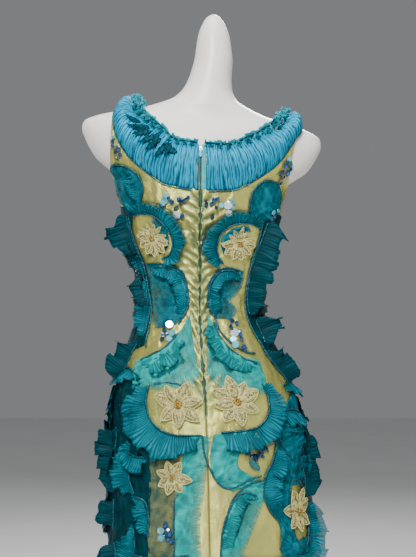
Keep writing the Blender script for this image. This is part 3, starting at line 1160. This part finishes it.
def make_collar():
    """The wide pleated collar in two backs and a front, with a cord along its lower edge."""
    pleats = bpy.context.scene.dress_look.collar_pleats

    def pleated(way, side, v):
        share = 1 - 1.10 * v
        count = way / 90 * pleats + 0.55 * wander(1, way * 0.33, share * 2.6)
        count = count + 0.22 * wander(12, way * 1.9, share * 6)
        crest = np.abs(np.sin(math.pi * count)) ** 0.7
        weight = 0.78 + 0.22 * wander(2, way * 2.3, share * 2)
        depth = (0.0034 - 0.0009 * share) * weight
        crumple = 0.0008 * wander(9, way * 1.1, share * 9)
        point = collar_place(way, side, share, depth * crest + crumple + COLLAR_WALL)
        return point, np.clip(crest * weight * 1.45 - 0.22, 0, 1)

    def back(side):
        def place(u, v):
            point, ridge = pleated(90 * u, side, v)
            point[..., 1] += 0.0003
            return posed(point), ridge, 0.0

        return place

    def front(u, v):
        point, ridge = pleated(180 - 90 * np.abs(1 - 2 * u), np.where(u < 0.5, 1, -1), v)
        point[..., 1] -= 0.0003
        return posed(point), ridge, 0.0

    columns = pleats * PLEAT_COLUMNS
    for name, count, place, node in (
        ("pleated_back_left", columns, back(1), "collar_back_left"),
        ("pleated_back_right", columns, back(-1), "collar_back_right"),
        ("pleated_front", 2 * columns, front, "collar_front"),
    ):
        length = 0.30 if count == columns else 0.62
        piece = shown(name, cloth_grid(name, count, COLLAR_ROWS, place, (length, COLLAR_WIDTH)),
                      finish("collar"))
        hang(piece, COLLAR_WIDTH, nodes=[node], wall=SATIN_WALL)

    for name, share, radius, above in (("collar_piping", 1.03, 0.0012, 0.0006),
                                       ("collar_neck_band", -0.01, 0.0010, 0.0)):
        way = np.linspace(1.0, 180, 110)
        splines = [posed(collar_place(way, side, share, above + radius)) for _, side in SIDES]
        corded(name, splines, radius, "braid")


def corded(name, splines, radius, look):
    """Round cords along these lines of points, as one piece."""
    curve = bpy.data.curves.new(name, "CURVE")
    curve.dimensions = "3D"
    curve.bevel_depth = radius
    curve.bevel_resolution = 1
    curve.use_fill_caps = True
    curve.materials.append(finish(look))
    for points in splines:
        spline = curve.splines.new("POLY")
        spline.points.add(len(points) - 1)
        spline.points.foreach_set("co", np.hstack((points, np.ones((len(points), 1)))).ravel())
    return wear(linked(name, curve))


# The ruched trim inside the collar


# Places round the neck in degrees, two to a degree
LAPS = np.linspace(0, 360, 721)


def ruche_frame(lap):
    """The middle of the neck trim, its outward, its upward direction and its radius, round the neck."""
    side = np.where(lap <= 180, 1, -1)
    way = np.where(lap <= 180, lap, 360 - lap)
    shoulder = np.sin(np.radians(way)) ** 2
    radius = 0.0055 + 0.0035 * shoulder

    band = np.linalg.norm(above_satin(*collar_spot(way, side, 0)) - above_satin(*collar_spot(way, side, 1)),
                          axis=-1)
    turn, height = collar_spot(way, side, -(radius + 0.001) / band)
    rest = mixed(0.001, 0.004, shoulder) - SATIN_FACE
    centre = above_satin(side * turn, height, radius + rest)
    centre[..., 0] += side * 0.006 * np.maximum(0.0, 1 - way / PARTED_WAY)
    out = outwards(side * turn, height)
    forward = unit(np.gradient(centre, axis=0))
    up = unit(np.cross(forward, out))
    up *= np.sign(up[..., 2:3] + 1e-9)
    return centre, out, up, radius


def make_ruche():
    """A gathered roll with a crumpled edge inside the collar, and small rosettes on it."""
    centre, out, up, radius = ruche_frame(LAPS)

    def at(values, u):
        i = np.clip(np.round(u * (len(LAPS) - 1)).astype(int), 0, len(LAPS) - 1)
        return values[i]

    def roll(u, v):
        angle = math.tau * v
        fold = np.sin(u * 430 + 2.0 * np.sin(angle) + wander(3, u * 90))
        gather = 1 + 0.24 * fold + 0.14 * wander(4, u * 170, v * 6)
        reach = (at(radius, u) * 0.74 * gather)[:, None]
        around = at(out, u) * np.cos(angle)[:, None] + at(up, u) * np.sin(angle)[:, None]
        point = at(centre, u) + around * reach
        return posed(point), np.clip(0.5 + 0.4 * fold + 0.3 * wander(7, u * 240, v * 9), 0, 1), 0.0

    mesh = welded(cloth_grid("ruche_roll", 640, 10, roll, (2.4, 0.05), closed=True))
    hang(shown("ruche_roll", mesh, finish("ruche")), 0.04, nodes=["neck_ruche"],
         wall=0.0004)

    def edge(lean, seed, tall):
        def place(u, v):
            beat = 300 + 40 * wander(seed, u * 4)
            wave = np.sin(u * beat + seed + 1.9 * wander(seed, u * 60))
            high = tall * (0.75 + 0.32 * wander(seed + 1, u * 70) + 0.22 * wander(seed + 2, u * 210))
            base = at(centre, u) + at(up, u) * (at(radius, u) * 0.4)[:, None]
            direction = unit(at(up, u) * (1 - lean) + at(out, u) * lean)
            across = unit(np.cross(at(up, u), at(out, u)))
            flutter = across * (np.cos(u * beat * 1.3 + seed) * 0.0030 * v)[:, None]
            sway = 0.0042 * wave * v**0.8 + 0.0012 * np.sin(u * 1150 + seed) * v
            point = base + direction * (high * v)[:, None] + at(out, u) * (sway + 0.001)[:, None] + flutter
            return posed(point), np.clip(0.40 + 0.45 * wave * v + 0.35 * v, 0, 1), 0.0

        return place

    for name, lean, seed, tall in (("ruche_edge_high", 0.25, 1, 0.0095), ("ruche_edge_low", 0.90, 4, 0.0120)):
        mesh = cloth_grid(name, 640, 4, edge(lean, seed, tall), (2.4, 0.02))
        hang(shown(name, mesh, finish("ruche")), 0.010)


Rosette = namedtuple("Rosette", "way side size")
ROSETTES = [Rosette(*row) for row in (
    (76, 1, 1.25), (71, 1, 1.2), (66, 1, 1.15), (82, 1, 1.0), (60, 1, 0.9), (94, 1, 0.9), (5, 1, 0.65),
    (10, 1, 0.55),
    (16, 1, 0.6), (24, 1, 0.6), (34, 1, 0.7), (42, 1, 0.75), (50, 1, 0.8), (5, -1, 0.6), (12, -1, 0.65),
    (19, -1, 0.55),
    (28, -1, 0.7), (36, -1, 0.75), (44, -1, 0.6), (54, -1, 0.7), (76, -1, 1.2), (70, -1, 1.1), (64, -1, 0.95),
    (84, -1, 0.95), (96, -1, 0.85), (120, 1, 0.8), (140, 1, 0.7), (162, 1, 0.7), (120, -1, 0.8),
    (140, -1, 0.7),
    (162, -1, 0.7),
)]


def make_rosettes():
    """Small curled rosettes of organza along the neck trim."""
    centre, out, up, radius = ruche_frame(LAPS)

    def rosette(k, row):
        i = 2 * (row.way if row.side > 0 else 360 - row.way)
        heart = centre[i] + out[i] * radius[i] * 0.9 - up[i] * radius[i] * 0.5
        across = unit(np.cross(up[i], out[i]))

        def curl(u, v):
            angle = u * math.tau * 2.3 + k
            wave = np.sin(u * 44 + k)
            reach = (0.0020 + 0.0054 * u + 0.0022 * v * wave) * row.size
            rise = 0.0075 * row.size * v * (1 - 0.35 * u) + 0.0018 * np.sin(u * 31 + k) * v
            flat = across[None, :] * np.cos(angle)[:, None] + up[i][None, :] * np.sin(angle)[:, None]
            point = heart + flat * reach[:, None] + out[i][None, :] * rise[:, None]
            return posed(point), np.clip(0.35 + 0.35 * wave * v + 0.4 * v, 0, 1), 0.0

        return cloth_grid("curl", 44, 3, curl, (0.12, 0.01), closed=True)

    piece = joined("neck_rosettes", (rosette(k, row) for k, row in enumerate(ROSETTES)), "ruche")
    hang(piece, 0.011)


# How long a degree of the way round the collar is, and how wide its band is, where the leaves lie
WAY_LENGTH, BAND_WIDTH = 0.0034, 0.085
Leaf = namedtuple("Leaf", "tip_way tip_share root_way root_share")
LEAVES = [Leaf(*row) for row in (
    (54.5, 0.36, 41, 0.08), (46, 0.42, 38, 0.08), (38.5, 0.47, 33, 0.08), (32.5, 0.50, 29, 0.06),
    (26.5, 0.50, 22.5, 0.02),
    (25.5, 0.12, 13.5, 0.20), (21.0, 0.36, 21.0, 0.00), (62, 0.20, 50, 0.04), (50.5, 0.24, 42, 0.02),
    (28.5, 0.30, 34, 0.02),
)]


def make_leaves():
    """Dark jagged leaves of organza on the wearer's left of the collar."""

    def leaf(k, row):
        def blade(u, v):
            teeth = 1 - 0.34 * np.abs(((u * 4.0 + 0.3 * k) % 1) * 2 - 1)
            half = 0.0072 * np.sin(math.pi * np.clip(u, 0.02, 0.98) ** 0.7) ** 0.9 * teeth * (2 * v - 1)
            run = np.array(((row.tip_way - row.root_way) * WAY_LENGTH,
                            (row.tip_share - row.root_share) * BAND_WIDTH))
            heading = run / np.hypot(*run)
            way = mixed(row.root_way, row.tip_way, u) - heading[1] * half / WAY_LENGTH
            share = mixed(row.root_share, row.tip_share, u) + heading[0] * half / BAND_WIDTH
            rise = 0.0052 + 0.0045 * u**2 + 0.0014 * np.abs(2 * v - 1) + 0.0008 * np.sin(u * 30 + k)
            ridge = np.clip(0.75 - 0.5 * np.abs(2 * v - 1) + 0.2 * np.sin(u * 23 + k), 0, 1)
            return posed(collar_place(way, 1, share, rise)), ridge, 0.0

        return cloth_grid("blade", 20, 6, blade, (0.03, 0.014))

    piece = joined("collar_leaves", (leaf(k, row) for k, row in enumerate(LEAVES)), "leaf")
    hang(piece, 0.014, wall=0.0004)


# Frills, veils and braid


def frill_place(row, u, across, grow=1.0):
    """A frill's sewn line at u, as turn, height, scale and heading, and how far from it each point lies."""
    spot = smooth_line(row.line, u)
    ahead = smooth_line(row.line, np.minimum(1, u + 0.01)) - smooth_line(row.line, np.maximum(0, u - 0.01))
    turn, height = spot[:, 0], spot[:, 1]
    scale = metres_a_degree(turn, height)
    heading = unit(np.stack((ahead[:, 0] * scale, ahead[:, 1]), axis=-1))
    width = np.interp(u, (0, 0.5, 1), (row.width_start, row.width_middle, row.width_end)) * grow
    return turn, height, scale, heading, width * across


def line_length(line):
    share = np.linspace(0, 1, 60)
    spot = smooth_line(line, share)
    return float(np.linalg.norm(np.diff(above_satin(spot[:, 0], spot[:, 1]), axis=0), axis=1).sum())


def make_frill(row, seed, layer):
    """One gathered, finely pleated strip; the under layer is wider, flatter and darker."""
    look = bpy.context.scene.dress_look
    under = layer == "under"
    grow = 1.20 if under else 1.0
    width = abs(row.width_middle) * grow
    length = line_length(row.line)
    pleats = max(8, round((length + 1.2 * width) / look.frill_pleat))
    flat = 0.45 if row.look == "bright_frill" else 1.0
    rise = flat * (0.62 if under else 1.0)
    outer = row.name.startswith(("side_", "hip_left", "hip_right_low", "thigh_left", "waist_plume",
                                 "rib_back"))
    rounded = min(0.9 * width, 0.3 * length)
    ragged = 0.20 if outer else 0.10

    def place(u, v):
        walked = u * length
        opened, closed = (np.sqrt(np.clip(gone / rounded, 0.02, 1)) for gone in (walked, length - walked))
        ends = opened * closed
        notch = 0.5 * np.clip(wander(seed + 7, walked * 120) - 0.35, 0, 1)
        sag = 1 + ragged * (wander(seed, walked * 90) + 0.4 * wander(seed + 1, walked * 420)) - notch
        turn, height, scale, heading, reach = frill_place(row, u, v, grow)
        reach = reach * sag * ends
        count = pleats * u + 0.45 * wander(seed + 5, walked * 60, v * 1.5)
        fold = 0.5 + 0.5 * np.cos(math.tau * count)
        weight = 0.72 + 0.28 * wander(seed + 6, walked * 260, v)
        ruffle = (1 - np.cos(math.tau * row.waves * u + (1.2 if under else 0.0))) / 2
        ruffle = FRILL_WAVE * (0.75 * ruffle + 0.7 * (0.5 + 0.5 * wander(seed + 3, walked * 110))) * v**1.2
        turns = math.tau * row.waves * 1.3 * u + seed
        swing = 0.0060 * np.sin(turns) + 0.0030 * wander(seed + 9, walked * 90)
        sway = swing * v * v
        stands = np.clip(v * ends * (1 + ragged * wander(seed, walked * 70)), 0, 1.1)
        above = (0.0010 if under else 0.0018) + row.lift * rise * stands**FRILL_CURVE + ruffle * rise * ends
        above = above + 2 * look.frill_depth * fold * weight * (0.35 + 0.65 * v)
        far_turn = turn + (heading[:, 1] * reach + heading[:, 0] * sway) / scale
        far_height = height - heading[:, 0] * reach + heading[:, 1] * sway
        ridge = np.clip((0.22 + 0.46 * fold + 0.32 * fold**6) * (0.6 + 0.4 * weight) * (0.66 + 0.5 * v), 0, 1)
        return posed(on_satin(far_turn, far_height, above)), ridge, v**3

    name = f"organza_{row.name}" + ("_under" if under else "")
    fine = row in FINE_FRILLS
    columns, rows = (3, 5) if under or fine else (4, 6)
    mesh = cloth_grid(name, pleats * columns, rows, place, (length * 1.6, width))
    piece = shown(name, mesh, finish("under" if under else "side_frill" if outer else row.look))
    nodes = [] if under or fine else [f"frill_{row.name}"]
    hang(piece, max(0.012, width), nodes=nodes)


def make_veil(row, seed):
    """A sheer layer laid on the satin, crumpled and fading out towards its second line."""

    def place(u, v):
        first, second = smooth_line(row.first, v), smooth_line(row.second, v)
        spot = first + (second - first) * u[:, None]
        far = u * wide
        up = v * tall
        lines = np.abs(np.sin(far * 190 + up * 60 + 2.2 * wander(seed, far * 50, up * 34)))
        cross = np.abs(np.sin(up * 150 - far * 40 + 2.6 * wander(seed + 4, far * 34, up * 60)))
        grain = wander(seed + 2, far * 260, up * 200)
        crumple = 0.0017 * (1 - lines) + 0.0013 * (1 - cross) + 0.0005 * (1 + grain)
        ridge = 0.30 + 0.55 * (1 - lines) + 0.45 * (1 - cross) + 0.25 * wander(seed + 6, far * 90, up * 90)
        ends = 0.85 * np.exp(-v / 0.06) + 0.85 * np.exp(-(1 - v) / 0.06)
        edge = np.maximum(u, ends) if row.fades else 0.0
        bulge = row.bow * np.sin(math.pi * u) * ((1 - v) ** 6 - v**6)
        bulge = bulge + 0.0016 * wander(seed + 8, far * 160, up * 160)
        point = on_satin(spot[:, 0], spot[:, 1] + bulge, row.above + crumple)
        return posed(point), np.clip(ridge, 0, 1), edge

    tall = line_length(row.first)
    wide = line_length((row.first[len(row.first) // 2], row.second[len(row.second) // 2]))
    name = f"veil_{row.name}"
    columns, rows = max(14, round(wide / VEIL_STEP)), max(16, round(tall / VEIL_STEP))
    piece = shown(name, cloth_grid(name, columns, rows, place, (wide, tall)), finish(row.look))
    hang(piece, max(0.02, wide))


def make_braids():
    """Dark sequined cord over the line where each frill is sewn."""
    splines = []
    for line in [row.line for row in FRILLS + FINE_FRILLS] + BRAIDS:
        share = np.linspace(0, 1, max(12, round(line_length(line) / BRAID_STEP)))
        spot = smooth_line(line, share)
        splines.append(posed(on_satin(spot[:, 0], spot[:, 1], BRAID_LIFT)))
    corded("frill_braid", splines, BRAID_RADIUS, "braid")


# Lace flowers, sequins and beads


def laid(row, local):
    """Posed points of a flower: local x goes round the body, y up it and z out of it."""
    scale = metres_a_degree(np.array([float(row.turn)]), np.array([row.height]))[0]
    return posed(on_satin(row.turn + local[:, 0] / scale, row.height + local[:, 1], local[:, 2]))


def petal_half(length, broad, u):
    """Half of a petal's width at a share of its length."""
    return length * broad * math.sin(math.pi * min(1.0, u * 0.97 + 0.03) ** 0.85) ** 0.75


def petal(bm, length, broad, root, rise, base):
    """One pointed petal that points along X and lifts towards its tip."""
    made = bmesh.ops.create_grid(bm, x_segments=8, y_segments=4, size=0.5)["verts"]
    for vert in made:
        u, side = vert.co.x + 0.5, vert.co.y * 2
        arch = 0.0016 * (1 - abs(side) ** 1.4) * math.sin(math.pi * u)
        vert.co = (root + (length - root) * u, side * petal_half(length, broad, u),
                   0.0016 + base + rise * u**1.6 + arch)
    return made


def rim_of(length, broad, root, rise, base):
    """The outline of a petal."""
    rim = []
    for side in (-1, 1):
        steps = np.linspace(0, 1, 13) if side < 0 else np.linspace(1, 0, 13)[1:]
        for u in steps:
            rim.append(Vector((root + (length - root) * u, side * petal_half(length, broad, u),
                               0.0020 + base + rise * u**1.6)))
    return rim


def bead(bm, place, radius):
    bmesh.ops.create_icosphere(bm, subdivisions=1, radius=radius, matrix=Matrix.Translation(place))


def petal_plan(row, chance):
    """The petals of a flower: length, breadth, direction, lift and height of each."""
    plan = []
    if row.rounds == 1:
        for k in range(row.petals):
            spin = math.radians(row.spin) + math.tau * k / row.petals + chance.uniform(-0.16, 0.16)
            plan.append((row.radius * chance.uniform(0.86, 1.08), 0.265, spin, 0.0045, 0.0011 * (k % 2)))
        return plan
    for k in range(row.petals):
        spin = math.radians(row.spin) + math.tau * k / row.petals + chance.uniform(-0.12, 0.12)
        plan.append((row.radius * chance.uniform(0.66, 0.98), 0.13, spin, 0.0040, 0.0006 * (k % 2)))
    for k in range(6):
        spin = math.radians(row.spin + 188 + 164 * k / 5) + chance.uniform(-0.08, 0.08)
        plan.append((row.radius * chance.uniform(0.88, 1.04), 0.26, spin, 0.0040, 0.0022 + 0.0008 * (k % 2)))
    return plan


def make_flower(row, seed):
    """Lace petals with corded rims, rows of dark beads and a gold heart."""
    chance = random.Random(seed)
    petals, beads, heart_beads = bmesh.new(), bmesh.new(), bmesh.new()
    rims, veins = [], []
    for length, broad, spin, rise, base in petal_plan(row, chance):
        turned = Matrix.Rotation(spin, 4, "Z")
        root = length * 0.10
        made = petal(petals, length, broad, root, rise, base)
        bmesh.ops.transform(petals, matrix=turned, verts=made)
        rim = [turned @ point for point in rim_of(length, broad, root, rise, base)]
        if broad < 0.2:
            veins.append(rim)
            continue
        rims.append(rim)
        vein = rim_of(length * 0.84, broad * 0.52, length * 0.22, rise * 0.8, base + 0.0009)
        veins.append([turned @ point for point in vein])
        for step in range(4, 9):
            u = step / 10
            place = Vector((root + (length - root) * u,
                            chance.uniform(-0.2, 0.2) * petal_half(length, broad, u),
                            0.0038 + base + rise * u**1.6))
            bead(beads, turned @ place, 0.0011)
    reach = row.radius * 0.10
    top = 0.0056 + 0.003 * (row.rounds - 1)
    for k in range(9):
        angle = math.tau * k / 8
        out = 0.0 if k == 8 else reach
        place = Vector((out * math.cos(angle), out * math.sin(angle), top + (0.0012 if k == 8 else 0)))
        bead(heart_beads, place, reach * 0.55)
    lace = finished(f"lace_{row.name}", petals, finish("lace"))
    place_points(lace.data, laid(row, points_of(lace.data)))
    face_away(lace.data)
    thicken(lace, LACE_WALL)
    wear(lace, [f"flower_{row.name}"])
    side = row.radius * 2.1
    min(cloth_area(lace.data), side**2)
    for name, bm, look in (("beads", beads, "dark_bead"), ("heart", heart_beads, "gold_bead")):
        studs = finished(f"{name}_{row.name}", bm, finish(look))
        place_points(studs.data, laid(row, points_of(studs.data)))
        wear(studs)
    corded(f"rims_{row.name}", [laid(row, np.array(rim)) for rim in rims], 0.0008, "lace_rim")
    corded(f"veins_{row.name}", [laid(row, np.array(vein)) for vein in veins], 0.0005, "lace_rim")


STRETCHES = {"drop": (0.72, 1.35, 1.0, 1.0), "petal": (0.55, 1.15, 1.0, 1.0)}


def make_sequins():
    """Round sequins, crystals, drops and organza petals, sewn on the dress."""
    chance = random.Random(11)
    kinds = {kind: bmesh.new() for kind in ("disc", "pale", "crystal", "drop", "petal")}
    for k, row in enumerate(SEQUINS):
        radius = row.radius / 1000 * (1.08 if row.kind in ("disc", "pale") else 1.35)
        flat = row.kind in ("disc", "pale", "petal")
        turn, height = np.array([float(row.turn)]), np.array([row.height])
        centre = posed(on_satin(turn, height, 0.0045 + 0.0012 * (k % 3) if flat else 0.0055))[0]
        wobble = 0.28 if flat else 0.5
        lean = Vector(outwards(turn, height)[0]) + Vector([chance.uniform(-wobble, wobble) for _ in range(3)])
        matrix = Matrix.Translation(centre) @ lean.to_track_quat("Z", "Y").to_matrix().to_4x4()
        matrix = matrix @ Matrix.Rotation(chance.uniform(-0.8, 0.8), 4, "Z")
        stretch = STRETCHES.get(row.kind, (1.0, 1.0, 1.0, 1.0))
        bmesh.ops.create_cone(kinds[row.kind], cap_ends=True, segments=24 if flat else 7, radius1=radius,
                              radius2=radius * (0.86 if flat else 0.5), depth=0.0008 if flat else 0.0030,
                              matrix=matrix @ Matrix.Diagonal(stretch))
    for kind, bm in kinds.items():
        wear(finished(f"sequins_{kind}", bm, finish(kind), smooth=False))


# The zip


TOOTH_SIZE = (0.0019, 0.0010, 0.0012)


def zip_line(heights, above, shift=0.0):
    point = above_satin(np.zeros_like(heights), heights, above)
    point[:, 0] += shift
    point[:, 1] += HALF_SEAM
    return posed(point)


def make_zip():
    """The zip's tape, its closed coil, and the placket strip beside it."""

    def tape(u, v):
        heights = mixed(ZIP_BOTTOM + 0.0045, ZIP_TOP, v)
        return zip_line(heights, -0.0004, (u - 0.5) * 0.0024)

    piece = shown("zip_tape", cloth_grid("zip_tape", 2, 120, tape, (0.003, 0.49)), finish("tape"))
    thicken(piece, TAPE_WALL)
    wear(piece, ["zip_chain"])
    teeth = bmesh.new()
    heights = np.arange(ZIP_BOTTOM + 0.006, ZIP_TOP - 0.001, 0.0021)
    tooth = Matrix.Diagonal((*TOOTH_SIZE, 1))
    for centre in zip_line(heights, 0.0001):
        bmesh.ops.create_cube(teeth, size=1, matrix=Matrix.Translation(centre) @ tooth)
    wear(finished("zip_coil", teeth, finish("tape"), smooth=False))

    def strip(u, v):
        heights = mixed(1.352, 1.4315, v)
        fold = np.sin(v * 160 + 3 * np.sin(u * 3))
        point = on_satin(np.full_like(heights, -2.0), heights, 0.0016 + 0.0003 * fold)
        point[:, 0] = mixed(-0.0102, -0.0018, u)
        return posed(point), 0.6 + 0.3 * fold, 0.0

    piece = shown("placket_strip", cloth_grid("placket_strip", 6, 60, strip, (0.007, 0.08)),
                  finish("placket"))
    thicken(piece, TAPE_WALL)
    wear(piece, ["zip_placket"])
    paint_node("zip_slider", "steel")
    paint_node("zip_pull_tab", "enamel")


# The studio


# The photograph's camera: its distance from the sensor in pixels of the picture, and its place
LENS_PIXELS, PICTURE_HEIGHT, SENSOR_SIZE = 1210.5, 557, 36
CAMERA_PLACE = (0, 2.3, 1.188)
LAMP_AIM = Vector((0, 0, 1.15))
Lamp = namedtuple("Lamp", "name power size spot")
LAMPS = [
    Lamp("key", 128, 0.8, (0.5, 2.7, 3.1)),
    Lamp("fill", 15, 2.0, (-2.6, 2.4, 1.4)),
    Lamp("front_key", 100, 1.0, (-0.5, -2.8, 3.0)),
    Lamp("front_fill", 15, 2.0, (2.4, -2.4, 1.4)),
    Lamp("top", 30, 1.0, (0.0, 0.4, 3.2)),
]


def make_stage():
    """A pale floor, soft lights and the camera of the photograph's view."""
    look = bpy.context.scene.dress_look
    bm = bmesh.new()
    bmesh.ops.create_grid(bm, x_segments=1, y_segments=1, size=8)
    floor_look, tree, shader, place = new_material("studio_floor", 0.7)
    drift = use(tree, crinkle(), {"Vector": place.outputs["Object"], "Scale": 3.0})
    paint(tree, shader, drift["Drift"], (0.74, 0.74, 0.73), (0.78, 0.78, 0.77))
    floor = finished("studio_floor", bm, floor_look, smooth=False)
    world = bpy.context.scene.world or bpy.data.worlds.new("studio")
    bpy.context.scene.world = world
    world.use_nodes = True
    world.node_tree.nodes["Background"].inputs["Color"].default_value = (0.80, 0.82, 0.84, 1)
    world.node_tree.nodes["Background"].inputs["Strength"].default_value = look.sky
    for name, power, size, spot in LAMPS:
        light = bpy.data.lights.new(name, "AREA")
        light.energy = power * look.light
        light.size = size
        lamp = linked(name, light)
        lamp.location = spot
        lamp.rotation_euler = (LAMP_AIM - Vector(spot)).to_track_quat("-Z", "Y").to_euler()
    camera = bpy.data.cameras.new("camera")
    camera.lens = LENS_PIXELS / PICTURE_HEIGHT * SENSOR_SIZE
    camera.sensor_width = SENSOR_SIZE
    camera.clip_start = 0.05
    eye = linked("camera", camera)
    eye.location = CAMERA_PLACE
    eye.rotation_euler = (math.radians(90), 0, math.radians(180))
    bpy.context.scene.camera = eye


# The add-on


class DressLook(bpy.types.PropertyGroup):
    """Sizes and colours of the dress"""

    satin_colour: FloatVectorProperty(name="Satin", description="Colour of the satin", subtype="COLOR",
                                      size=3, min=0,
                                      max=1, default=(0.76, 0.71, 0.18))
    teal_colour: FloatVectorProperty(name="Teal", description="Colour of the organza", subtype="COLOR",
                                     size=3, min=0,
                                     max=1, default=(0.001, 0.32, 0.42))
    lace_colour: FloatVectorProperty(name="Lace", description="Colour of the lace flowers", subtype="COLOR",
                                     size=3,
                                     min=0, max=1, default=(0.72, 0.65, 0.25))
    collar_pleats: IntProperty(name="Collar pleats", description="Pleats in a quarter of the collar",
                               default=42, min=8,
                               max=60)
    frill_pleat: FloatProperty(name="Frill pleat", description="Distance from pleat to pleat", default=0.0040,
                               min=0.002, max=0.02, unit="LENGTH")
    frill_depth: FloatProperty(name="Frill depth", description="Depth of the pleats", default=0.0005,
                               min=0.0002,
                               max=0.004, unit="LENGTH")
    light: FloatProperty(name="Light", description="Strength of the studio lights", default=1.0, min=0.1,
                         max=5)
    sky: FloatProperty(name="Sky", description="Strength of the room's own light", default=0.26, min=0.0,
                       max=3)


class DressPiece:
    """What every operator of this add-on has in common"""

    bl_options = {"REGISTER", "UNDO"}


class DRESS_OT_form(DressPiece, bpy.types.Operator):
    """Dress form and stand"""

    bl_idname = "dress.form"
    bl_label = "Form"

    def execute(self, context):
        make_form()
        return {"FINISHED"}


class DRESS_OT_panels(DressPiece, bpy.types.Operator):
    """Satin front and backs"""

    bl_idname = "dress.panels"
    bl_label = "Satin panels"

    def execute(self, context):
        make_panels()
        return {"FINISHED"}


class DRESS_OT_collar(DressPiece, bpy.types.Operator):
    """Pleated collar, its cord and its leaves"""

    bl_idname = "dress.collar"
    bl_label = "Collar"

    def execute(self, context):
        make_collar()
        make_leaves()
        return {"FINISHED"}


class DRESS_OT_ruche(DressPiece, bpy.types.Operator):
    """Ruched trim and rosettes inside the collar"""

    bl_idname = "dress.ruche"
    bl_label = "Neck trim"

    def execute(self, context):
        make_ruche()
        make_rosettes()
        return {"FINISHED"}


class DRESS_OT_frills(DressPiece, bpy.types.Operator):
    """Pleated frills, with an under layer where they replace solids"""

    bl_idname = "dress.frills"
    bl_label = "Frills"

    def execute(self, context):
        for seed, row in enumerate(FRILLS + FINE_FRILLS):
            make_frill(row, seed, "top")
        for seed, row in enumerate(FRILLS):
            make_frill(row, seed + 50, "under")
        return {"FINISHED"}


class DRESS_OT_veils(DressPiece, bpy.types.Operator):
    """Sheer organza on the satin, and the braid on its edges"""

    bl_idname = "dress.veils"
    bl_label = "Veils and braid"

    def execute(self, context):
        for seed, row in enumerate(VEILS):
            make_veil(row, seed + 20)
        make_braids()
        return {"FINISHED"}


class DRESS_OT_flowers(DressPiece, bpy.types.Operator):
    """Lace flowers"""

    bl_idname = "dress.flowers"
    bl_label = "Flowers"

    def execute(self, context):
        for seed, row in enumerate(FLOWERS):
            make_flower(row, seed)
        return {"FINISHED"}


class DRESS_OT_sequins(DressPiece, bpy.types.Operator):
    """Groups of sequins and crystals"""

    bl_idname = "dress.sequins"
    bl_label = "Sequins"

    def execute(self, context):
        make_sequins()
        return {"FINISHED"}


class DRESS_OT_zip(DressPiece, bpy.types.Operator):
    """Zip, placket, slider and pull tab"""

    bl_idname = "dress.zip"
    bl_label = "Zip"

    def execute(self, context):
        make_zip()
        return {"FINISHED"}


class DRESS_OT_stage(DressPiece, bpy.types.Operator):
    """Floor, lights and camera"""

    bl_idname = "dress.stage"
    bl_label = "Studio"

    def execute(self, context):
        make_stage()
        return {"FINISHED"}


OPERATORS = (DRESS_OT_stage, DRESS_OT_form, DRESS_OT_panels, DRESS_OT_collar, DRESS_OT_ruche, DRESS_OT_frills,
             DRESS_OT_veils, DRESS_OT_flowers, DRESS_OT_sequins, DRESS_OT_zip)


class DRESS_PT_look(bpy.types.Panel):
    """The dress's pieces and settings"""

    bl_label = "Prom dress"
    bl_space_type = "VIEW_3D"
    bl_region_type = "UI"
    bl_category = "Dress"

    def draw(self, context):
        for field in DressLook.__annotations__:
            self.layout.prop(context.scene.dress_look, field)
        for operator in OPERATORS:
            self.layout.operator(operator.bl_idname)


CLASSES = (DressLook, *OPERATORS, DRESS_PT_look)


def register():
    for cls in CLASSES:
        bpy.utils.register_class(cls)
    bpy.types.Scene.dress_look = PointerProperty(type=DressLook)


def unregister():
    del bpy.types.Scene.dress_look
    for cls in reversed(CLASSES):
        bpy.utils.unregister_class(cls)


def main():
    register()
    bpy.ops.dress.stage()
    bpy.ops.dress.form()
    bpy.ops.dress.panels()
    bpy.ops.dress.collar()
    bpy.ops.dress.ruche()
    bpy.ops.dress.frills()
    bpy.ops.dress.veils()
    bpy.ops.dress.flowers()
    bpy.ops.dress.sequins()
    bpy.ops.dress.zip()


if __name__ == "__main__":
    main()
